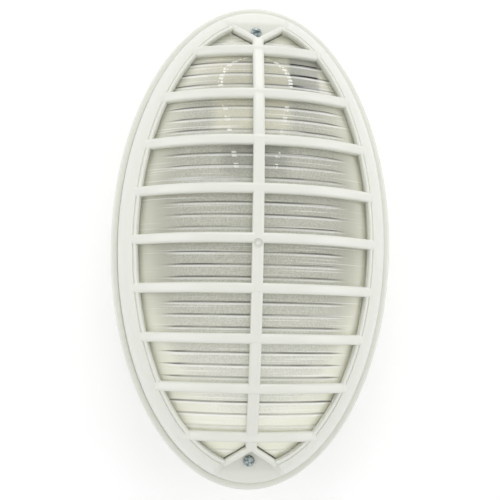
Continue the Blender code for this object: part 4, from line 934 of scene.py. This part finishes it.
def cage_screw_profile(steps=8):
    """Radius and height of a pan-head screw with a threaded shank, head upwards."""
    radius = CAGE_SCREW_HEAD_RADIUS
    points = [(0, CAGE_SCREW_HEAD_HEIGHT)]
    for step in range(1, steps + 1):
        angle = math.pi / 2 * step / steps
        across = HEAD_TOP_SHARE + (1 - HEAD_TOP_SHARE) * math.sin(angle)
        up = HEAD_SIDE_SHARE + (1 - HEAD_SIDE_SHARE) * math.cos(angle)
        points.append((radius * across, CAGE_SCREW_HEAD_HEIGHT * up))
    points += [(radius, HEAD_EDGE), (radius - HEAD_EDGE, 0), (CAGE_SCREW_RADIUS, 0)]
    depth = SCREW_PITCH
    while depth < CAGE_SCREW_TIP - CAGE_SCREW_RADIUS:
        points += [(THREAD_ROOT, -depth - SCREW_PITCH * 0.45),
                   (CAGE_SCREW_RADIUS, -depth - SCREW_PITCH * 0.5),
                   (CAGE_SCREW_RADIUS, -depth - SCREW_PITCH * 0.6)]
        depth += SCREW_PITCH
    return points + [(CAGE_SCREW_RADIUS * 0.3, -CAGE_SCREW_TIP), (0, -CAGE_SCREW_TIP)]


def cross(name, reach, half_width, back, matrix):
    """Two crossed boxes to cut a cross recess with, from its floor out past the head."""
    front = CAGE_SCREW_HEAD_HEIGHT * 2
    arms = ((reach, half_width), (half_width, reach))
    return [("DIFFERENCE", box(name, (-x, -y, back), (x, y, front), matrix)) for x, y in arms]


def make_cage_screw(name, end, turn_angle, material):
    """A zinc pan-head screw with a cross recess and its four small marks."""
    matrix = Matrix.Translation((0, -SCREW_HEAD_DEPTH, end * SCREW_Z))
    matrix = matrix @ Matrix.Rotation(math.radians(90), 4, "X")
    matrix = matrix @ Matrix.Rotation(math.radians(turn_angle), 4, "Z")
    diagonal = matrix @ Matrix.Rotation(math.radians(45), 4, "Z")
    body = turned(name, cage_screw_profile(), matrix, 64)
    steps = cross("recess", RECESS_REACH, RECESS_HALF_WIDTH, RECESS_FLOOR, matrix)
    steps += cross("mark", MARK_REACH, MARK_HALF_WIDTH, MARK_FLOOR, diagonal)
    mesh = merge(body, steps, name, sharp_angle=30)
    return place_piece(f"{name}_zinc", mesh, material, "zinc", name)


# Lampholder

def make_lampholder(material):
    """The glazed porcelain body with its moulded grooves, pockets and screw holes."""
    mouth = SHELL_RADIUS + THREAD_WAVE + SEAT_GAP
    floor = MOUTH_SETBACK + SHELL_LENGTH + SEAT_GAP
    lip = HOLDER_LIP_RADIUS
    profile = [(0, HOLDER_LENGTH)]
    profile += arc((HOLDER_BACK_RADIUS - lip, HOLDER_LENGTH - lip), lip, 90, 0, 6)
    for step in range(9):
        share = step / 8
        profile.append((HOLDER_BACK_RADIUS + (HOLDER_RADIUS - HOLDER_BACK_RADIUS) * ease(share),
                        SHOULDER_BACK + (SHOULDER_FRONT - SHOULDER_BACK) * share))
    for height in HOLDER_GROOVES:
        profile += [(HOLDER_RADIUS, height + HOLDER_GROOVE_HALF_WIDTH),
                    (HOLDER_RADIUS - HOLDER_GROOVE, height),
                    (HOLDER_RADIUS, height - HOLDER_GROOVE_HALF_WIDTH)]
    profile += arc((HOLDER_RADIUS - lip, lip), lip, 0, -90, 6)
    profile += arc((mouth + MOUTH_FLARE + lip, lip), lip, 270, 180, 6)
    profile += [(mouth, MOUTH_FLARE_END), (mouth, floor), (0, floor)]
    mouth_place = Matrix.Translation((0, -HOLDER_DEPTH, HOLDER_TOP_Z - HOLDER_LENGTH))
    body = turned("lampholder_body", profile, mouth_place, 96)
    steps = []
    half = TERMINAL_POCKET / 2
    for hand in (-1, 1):
        low = (hand * TERMINAL_X - half, -(HOLDER_DEPTH - TERMINAL_FLOOR_DROP),
               HOLDER_TOP_Z - TERMINAL_POCKET)
        high = (hand * TERMINAL_X + half, HOLDER_RADIUS - HOLDER_DEPTH + SEAT_GAP,
                HOLDER_TOP_Z + SEAT_GAP)
        steps.append(("DIFFERENCE", box("terminal_pocket", low, high, Matrix.Identity(4))))
        place = Matrix.Translation((hand * HOLDER_SCREW_X, -HOLDER_DEPTH,
                                    HOLDER_TOP_Z - HOLDER_BORE_DROP))
        bore = [(0, HOLDER_LENGTH), (HOLDER_BORE_RADIUS, HOLDER_LENGTH), (HOLDER_BORE_RADIUS, 0),
                (0, 0)]
        steps.append(("DIFFERENCE", turned("holder_bore", bore, place, 24)))
    mesh = merge(body, steps, "porcelain_lampholder")
    return place_piece("porcelain_lampholder", mesh, material, "porcelain", "lampholder_body")


def shell_ring(height, radius_at):
    """A ring of the metal cup at one height above its mouth."""
    loop = []
    for step in range(SHELL_SIDES):
        angle = 2 * math.pi * step / SHELL_SIDES
        radius = radius_at(angle, height)
        loop.append((radius * math.cos(angle), radius * math.sin(angle) - HOLDER_DEPTH,
                     HOLDER_TOP_Z - HOLDER_LENGTH + MOUTH_SETBACK + height))
    return loop


def make_screw_shell(material):
    """The rolled metal cup whose wall follows the lamp thread's helix."""
    def outer(angle, height):
        turns = height / THREAD_PITCH - angle / (2 * math.pi)
        return SHELL_RADIUS + THREAD_WAVE * (0.5 + 0.5 * math.cos(2 * math.pi * turns))

    def inner(angle, height):
        return outer(angle, height) - SHELL_WALL

    def hole(angle, height):
        return CONTACT_HOLE_RADIUS

    floor = SHELL_LENGTH - SHELL_WALL
    shares = [step / SHELL_ROWS for step in range(SHELL_ROWS + 1)]
    rings = [shell_ring(SHELL_LENGTH * (1 - share), outer) for share in shares]
    rings += [shell_ring(floor * share, inner) for share in shares]
    rings += [shell_ring(floor, hole), shell_ring(SHELL_LENGTH, hole)]
    mesh = loft("rolled_screw_shell", rings, closed=True)
    return place_piece("rolled_screw_shell", mesh, material, "nickel", "screw_shell")


# Materials

def new_finish(name, colour, roughness, metallic=0.0):
    """A material, its shader and its Object coordinates."""
    material = bpy.data.materials.new(name)
    material.use_nodes = True
    shader = material.node_tree.nodes["Principled BSDF"]
    give(shader, {"Base Color": (*colour, 1.0), "Roughness": roughness, "Metallic": metallic})
    place = Term(add_node(material.node_tree, "ShaderNodeTexCoord").outputs["Object"])
    return material, shader, place


def noise(place, size, detail=2.0):
    """Noise whose features are about one size across."""
    node = add_node(place.tree, "ShaderNodeTexNoise",
                    {"Vector": place, "Scale": 1.0 / size, "Detail": detail})
    return Term(node.outputs["Fac"])


def span(value, low, high, to_low=0.0, to_high=1.0):
    """A value mapped smoothly from one range to another."""
    node = add_node(value.tree, "ShaderNodeMapRange",
                    {"Value": value, "From Min": low, "From Max": high, "To Min": to_low,
                     "To Max": to_high}, interpolation_type="SMOOTHSTEP")
    return Term(node.outputs["Result"])


def varied(place, size, low, high, detail=2.0):
    """A value that drifts between two limits over the surface."""
    return span(noise(place, size, detail), 0.3, 0.7, low, high)


def stretched(place, scale):
    """Object coordinates scaled along X, Y and Z."""
    return Term(add_node(place.tree, "ShaderNodeMapping",
                         {"Vector": place, "Scale": scale}).outputs[0])


def blend_colour(share, first, second):
    """Two colours mixed by a share."""
    node = add_node(share.tree, "ShaderNodeMix", data_type="RGBA")
    feed(node.inputs["Factor"], share)
    for socket, colour in ((node.inputs[6], first), (node.inputs[7], second)):
        feed(socket, colour if isinstance(colour, Term) else (*colour, 1.0))
    return Term(node.outputs[2])


def relief(shader, height, strength, distance, normal=None):
    """Bump on a shader from a height field, over the surface's own or a given normal."""
    node = add_node(height.tree, "ShaderNodeBump",
                    {"Height": height, "Strength": strength, "Distance": distance})
    if normal is not None:
        feed(node.inputs["Normal"], normal)
    feed(shader.inputs["Normal"], node)


def turned_forward(normal, amount):
    """An object's normal leant towards its front, as prism ribs lean the light."""
    leant = add_node(normal.tree, "ShaderNodeVectorMath", {0: normal, 1: (0.0, -amount, 0.0)},
                     operation="ADD")
    return add_node(normal.tree, "ShaderNodeVectorTransform", {0: leant},
                    vector_type="NORMAL", convert_from="OBJECT", convert_to="WORLD")


def moulded_white(name):
    """Glossy off-white moulded plastic with a faint orange peel and flow variation."""
    material, shader, place = new_finish(name, (0.85, 0.86, 0.79), 0.3)
    flow = noise(place, 90 * MM, 0.0)
    give(shader, {
        "Base Color": blend_colour(flow, (0.845, 0.855, 0.785), (0.865, 0.872, 0.805)),
        "Roughness": varied(place, 50 * MM, 0.29, 0.31, 0.0),
        "Coat Weight": 0.5,
        "Coat Roughness": 0.25,
    })
    orange_peel = noise(place, 2.2 * MM, 0.0)
    relief(shader, orange_peel, 0.01, 0.4 * MM)
    return material


def patch(x, z, across, up, edge):
    """One inside a soft-edged field of X and Z, nought outside it."""
    inside = 1.0
    for value, (low, high) in ((x, across), (z, up)):
        inside = span(value, low - edge, low + edge) * inside
        inside = span(value, high + edge, high - edge) * inside
    return inside


def holder_glints(place, x, z, offset):
    """Painted glints, one in small dots along the lampholder's outline: an arch on two legs that lean
    in.
    """
    over = calc("DIVIDE", z - GLINT_ARCH_Z, GLINT_ARCH_HEIGHT, clamp=True)
    arch = calc("SQRT", 1.0 - over ** 2.0) * GLINT_HALF_WIDTH
    half = calc("MINIMUM", arch, z * GLINT_LEG_SLOPE + GLINT_LEG_START)
    away = abs(abs(x - GLINT_MIDDLE_X) - half)
    step = abs(calc("WRAP", z, GLINT_PITCH / 2, -GLINT_PITCH / 2))
    dots = span(away, *GLINT_SIDE_FADE) * span(step, *GLINT_STEP_FADE)
    on_rib = span(abs(offset), *GLINT_RIB_FADE)
    in_arch = span(z, *GLINT_ARCH_FADE)
    above_foot = span(z, *GLINT_FOOT_FADE)
    scattered = span(noise(place, 2.5 * MM), *GLINT_SCATTER)
    return dots * (scattered * above_foot) * calc("MAXIMUM", on_rib, in_arch)


def holder_fields(place, x, z, offset, line):
    """What shows through the glass, painted: the porcelain, painted shadow below its mouth, painted
    shade at its terminal pockets and painted glints.
    """
    # Painted shade at the terminal pockets, painted shadow below the mouth, the porcelain's own cream
    shade_at_terminals = patch(x, z, *TERMINAL_SHADE_SEEN)
    mouth = patch(x, z, *MOUTH_SHADOW_SEEN)
    porcelain = patch(x, z, *PORCELAIN_SEEN)
    return {
        "porcelain": porcelain,
        "low_holder": porcelain * span(z, *LOW_HOLDER_FADE),
        # Painted shadow and painted shade that darken the glass
        "behind": calc("ADD", mouth * 0.8, shade_at_terminals, clamp=True),
        # Black lines of painted shade at the ribs over the terminal pockets
        "terminal_shade_lines": calc("MULTIPLY", line(DARK_LINE_OFFSET, TERMINAL_SHADE_HALF_WIDTH) * shade_at_terminals,
                      TERMINAL_SHADE_CONTRAST, clamp=True),
        "glints": holder_glints(place, x, z, offset),
    }


def glass_fields(place, normal):
    """Where the clear plastic is lined with painted shade and painted highlight, stippled or lit, and
    what lies behind it, by name.
    """
    x, _, z = parts_of(place)
    side = abs(x)
    front = calc("LESS_THAN", parts_of(normal)[1], -0.1)
    taper = calc("DIVIDE", RIB_REACH - side, RIB_TAPER, clamp=True)
    offset = calc("WRAP", z - RIB_OFFSET, RIB_PITCH / 2, -RIB_PITCH / 2)
    shown = varied(place, 30 * MM, 0.6, 1.0) * front

    def line(centre, half_width):
        room = taper * half_width - abs(offset - centre)
        return calc("DIVIDE", room, RIB_LINE_EDGE, clamp=True) * shown

    fields = holder_fields(place, x, z, offset, line)
    fields["glints"] = fields["glints"] * front
    fading = span(z, *LOW_RIB_FADE) * span(z, *HIGH_RIB_FADE)
    # A dark line of painted shade on each rib's upper side
    dark = line(DARK_LINE_OFFSET, DARK_LINE_HALF_WIDTH) * fading
    fields["dark"] = calc("MAXIMUM", dark, fields["terminal_shade_lines"])
    # Painted highlight: a bright line on each rib's lower side, with faint streaks and the glints
    painted_streaks = span(noise(stretched(place, STREAK_SCALE), 0.8 * MM, 1.0), *STREAK_SPAN)
    painted_highlight = calc("MAXIMUM", line(-DARK_LINE_OFFSET, BRIGHT_LINE_HALF_WIDTH), painted_streaks * 0.7)
    fields["painted_highlight"] = calc("MAXIMUM", painted_highlight, fields["glints"])
    grain = noise(place, GRAIN_SIZE)
    middle = span(side, *STIPPLE_FADE)
    fields["stipple"] = grain * middle
    fields["speckle"] = span(grain, *SPECKLE_SPAN) * middle
    across = side / (HALF_WIDTH - OPENING_INSET)
    along = abs(z) / (HALF_HEIGHT - OPENING_INSET)
    reach = across ** 2.0 + along ** 2.0
    fields["outer"] = span(reach, *OUTER_SPAN)
    fields["edge"] = span(reach, *EDGE_SPAN)
    fields["lower"] = span(z, *LOWER_HALF)
    fields["foot"] = span(z, *FOOT_ZONE)
    return fields


def glass_colour(fields):
    """Tone of the clear plastic: its ground, painted lighter in its lower half, what lies behind it,
    and the ribs' lines of painted shade and painted highlight.
    """
    upper = blend_colour(fields["speckle"], (0.88, 0.88, 0.74), (0.98, 0.98, 0.87))
    lower = blend_colour(fields["speckle"], (0.93, 0.93, 0.84), (0.98, 0.98, 0.91))
    # Colour of the painted shade lines: dark grey, near black over the terminal pockets
    painted_shade_tone = blend_colour(fields["terminal_shade_lines"], (0.20, 0.20, 0.17), (0.01, 0.01, 0.01))
    # Painted light: the lower half of the glass takes the lighter tone
    tone = blend_colour(fields["lower"], upper, lower)
    layers = (
        (fields["outer"], (0.87, 0.87, 0.74)),
        (fields["porcelain"], (0.93, 0.915, 0.75)),
        # Painted shadow below the lampholder's mouth and painted shade at its terminal pockets
        (fields["behind"] * 0.6, (0.42, 0.42, 0.39)),
        # The ribs' painted shade lines, then their painted highlight lines
        (fields["dark"], painted_shade_tone),
        (fields["painted_highlight"], (1.0, 1.0, 0.96)),
    )
    for share, colour in layers:
        tone = blend_colour(share, tone, colour)
    return tone


def weighed(fields, plain, weights):
    """A plain share plus each named field by its weight, held between 0 and 1."""
    total = plain
    for name, weight in weights.items():
        total = fields[name] * weight + total
    return calc("ADD", total, 0.0, clamp=True)


def clear_ribbed(name):
    """Clear plastic: level ribs with lines of painted highlight and painted shade, and a fine stipple
    between them.
    """
    material, shader, place = new_finish(name, (0.80, 0.82, 0.76), 0.34)
    normal = Term(add_node(place.tree, "ShaderNodeTexCoord").outputs["Normal"])
    fields = glass_fields(place, normal)
    give(shader, {
        "Base Color": glass_colour(fields),
        "Metallic": weighed(fields, PLAIN_SATIN, SATIN_WEIGHTS),
        "Alpha": weighed(fields, PLAIN_COVER, COVER_WEIGHTS),
    })
    relief(shader, fields["stipple"], 0.35, 0.6 * MM, turned_forward(normal, RIB_LEAN))
    return material


def glazed_porcelain(name):
    """Cream porcelain under a clear glaze, with a few dark specks."""
    material, shader, place = new_finish(name, (0.78, 0.72, 0.58), 0.2)
    body = blend_colour(noise(place, 20 * MM), (0.74, 0.68, 0.53), (0.83, 0.78, 0.65))
    specks = span(noise(place, 1.2 * MM, 0.0), 0.74, 0.80)
    give(shader, {
        "Base Color": blend_colour(specks, body, (0.35, 0.28, 0.18)),
        "Roughness": varied(place, 6 * MM, 0.14, 0.28),
        "Coat Weight": 0.6,
        "Coat Roughness": 0.05,
    })
    relief(shader, noise(place, 4 * MM), 0.08, 0.6 * MM)
    return material


def plated_metal(name, colour, tarnish, roughness):
    """Plated metal with cloudy tarnish and fine drawn marks."""
    material, shader, place = new_finish(name, colour, roughness, 1.0)
    cloud = span(noise(place, 1.4 * MM, 3.0), 0.38, 0.62)
    give(shader, {
        "Base Color": blend_colour(cloud, colour, tarnish),
        "Roughness": varied(place, 0.9 * MM, roughness * 0.75, roughness * 1.4),
    })
    drawn_marks = noise(stretched(place, (1.0, 1.0, 8.0)), 1.5 * MM)
    relief(shader, drawn_marks, 0.08, 0.2 * MM)
    return material


def soft_rubber(name, colour, pores):
    """Dull rubber or foam with a pored skin."""
    material, shader, place = new_finish(name, colour, 0.75)
    pale = tuple(min(1.0, channel * 1.5) for channel in colour)
    cells = add_node(place.tree, "ShaderNodeTexVoronoi", {"Vector": place, "Scale": 1.0 / pores})
    skin = span(Term(cells.outputs["Distance"]), 0.1, 0.6)
    give(shader, {"Base Color": blend_colour(skin, colour, pale)})
    relief(shader, skin, 0.3, pores * 0.3)
    return material


def dull_plastic(name, colour, roughness=0.42):
    """Plain plastic with slight colour and gloss variation."""
    material, shader, place = new_finish(name, colour, roughness)
    pale = tuple(min(1.0, channel * 1.12 + 0.01) for channel in colour)
    give(shader, {
        "Base Color": blend_colour(noise(place, 6 * MM, 3.0), colour, pale),
        "Roughness": varied(place, 2 * MM, roughness * 0.8, roughness * 1.2),
    })
    relief(shader, noise(place, 0.7 * MM, 1.0), 0.08, 0.2 * MM)
    return material


def dress_nodes(material, *nodes):
    """Give carried-over solids a finished material."""
    for name in nodes:
        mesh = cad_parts[name].data
        mesh.materials.clear()
        mesh.materials.append(material)


# Camera, lights and backdrop

def make_camera():
    """The camera, at the photo's pose."""
    data = bpy.data.cameras.new("camera")
    data.sensor_width = 36.0
    data.lens = CAMERA_LENS
    camera = link(bpy.data.objects.new("camera", data))
    tilt = Matrix.Identity(3)
    for axis, angle in CAMERA_TURNS:
        tilt = tilt @ Matrix.Rotation(angle, 3, axis)
    upright = Matrix(((1, 0, 0), (0, 0, -1), (0, 1, 0)))
    pose = (upright @ tilt.transposed()).to_4x4()
    pose.translation = CAMERA_PLACE
    camera.matrix_world = pose
    scene.camera = camera


def area_light(name, place, size, power):
    """A soft square lamp aimed at the light's middle."""
    data = bpy.data.lights.new(name, "AREA")
    data.shape = "SQUARE"
    data.size = size
    data.energy = power
    lamp = link(bpy.data.objects.new(name, data))
    lamp.location = place
    aim = Vector(LAMP_AIM) - Vector(place)
    lamp.rotation_euler = aim.to_track_quat("-Z", "Y").to_euler()


def seen_share(tree):
    """One for rays that the camera, a mirror or clear plastic sees, nought for lighting rays."""
    path = add_node(tree, "ShaderNodeLightPath").outputs
    seen = calc("MAXIMUM", Term(path["Is Camera Ray"]), Term(path["Is Transmission Ray"]))
    return calc("MAXIMUM", seen, Term(path["Is Glossy Ray"]))


def make_world():
    """Even white surroundings, full strength only where they are seen or mirrored."""
    world = bpy.data.worlds.new("studio")
    scene.world = world
    world.use_nodes = True
    strength = calc("MAXIMUM", seen_share(world.node_tree), AMBIENT)
    give(world.node_tree.nodes["Background"],
         {"Strength": strength, "Color": (1.0, 1.0, 1.0, 1.0)})


def backdrop_material():
    """Pale paper that is white where it is lit, keeps shadows and isn't seen from behind."""
    material = bpy.data.materials.new("pale_paper")
    material.use_nodes = True
    tree = material.node_tree
    shader = tree.nodes["Principled BSDF"]
    give(shader, {
        "Base Color": (0.86, 0.86, 0.86, 1.0),
        "Roughness": 1.0,
        "Specular IOR Level": 0.0,
        "Emission Color": (1.0, 1.0, 1.0, 1.0),
        "Emission Strength": seen_share(tree) * PAPER_GLOW,
    })
    behind = Term(add_node(tree, "ShaderNodeNewGeometry").outputs["Backfacing"])
    clear = add_node(tree, "ShaderNodeBsdfTransparent")
    mix = add_node(tree, "ShaderNodeMixShader", {0: behind, 1: shader, 2: clear})
    give(tree.nodes["Material Output"], {"Surface": mix})
    return material


def sheet(name, corners, material):
    """A flat sheet of backdrop through four corners."""
    mesh = bpy.data.meshes.new(name)
    mesh.from_pydata(corners, [], [(0, 1, 2, 3)])
    mesh.materials.append(material)
    link(bpy.data.objects.new(name, mesh))


def make_stage():
    """A pale wall right behind the light, and a pale floor below it."""
    paper = backdrop_material()
    left, right = -PAPER_REACH, PAPER_REACH
    low, high = PAPER_FLOOR_Z, PAPER_TOP_Z
    near, far = PAPER_FRONT_Y, PAPER_WALL_Y
    sheet("wall", [(left, far, low), (right, far, low), (right, far, high), (left, far, high)],
          paper)
    sheet("floor", [(left, near, low), (right, near, low), (right, far, low), (left, far, low)],
          paper)


def build():
    """Make the whole dressed light and its studio."""
    make_camera()
    make_world()
    make_stage()
    for lamp in LAMPS:
        area_light(*lamp)
    white = moulded_white("moulded_white")
    zinc = plated_metal("bright_zinc", (0.46, 0.53, 0.53), (0.16, 0.21, 0.21), 0.30)
    brass = plated_metal("turned_brass", (0.72, 0.52, 0.22), (0.50, 0.33, 0.13), 0.30)
    nickel = plated_metal("nickel_plate", (0.66, 0.63, 0.57), (0.50, 0.46, 0.40), 0.22)
    make_cage(white)
    make_base(white)
    make_diffuser(clear_ribbed("clear_ribbed"))
    for name, (end, turn_angle) in CAGE_SCREW_TURNS.items():
        make_cage_screw(name, end, turn_angle, zinc)
    make_lampholder(glazed_porcelain("glazed_porcelain"))
    make_screw_shell(nickel)
    dress_nodes(soft_rubber("sealing_foam", (0.10, 0.10, 0.10), 0.8 * MM), "gasket")
    dress_nodes(soft_rubber("moulded_rubber", (0.42, 0.42, 0.40), 0.5 * MM), "cable_grommet")
    dress_nodes(zinc, "lampholder_bracket", "bracket_screw_left", "bracket_screw_right",
                "lampholder_screw_left", "lampholder_screw_right", "clamp_screw_live_upper",
                "clamp_screw_live_lower", "clamp_screw_neutral_upper", "clamp_screw_neutral_lower")
    dress_nodes(brass, "centre_contact", "live_terminal_plate", "live_terminal_screw",
                "neutral_terminal_plate", "neutral_terminal_screw", "live_sleeve",
                "neutral_sleeve")
    dress_nodes(dull_plastic("milky_plastic", (0.80, 0.80, 0.76)), "terminal_block")
    dress_nodes(dull_plastic("brown_sleeving", (0.20, 0.08, 0.035)), "live_lead")
    dress_nodes(dull_plastic("blue_sleeving", (0.04, 0.12, 0.40)), "neutral_lead")
    scene.view_settings.view_transform = "Standard"


build()
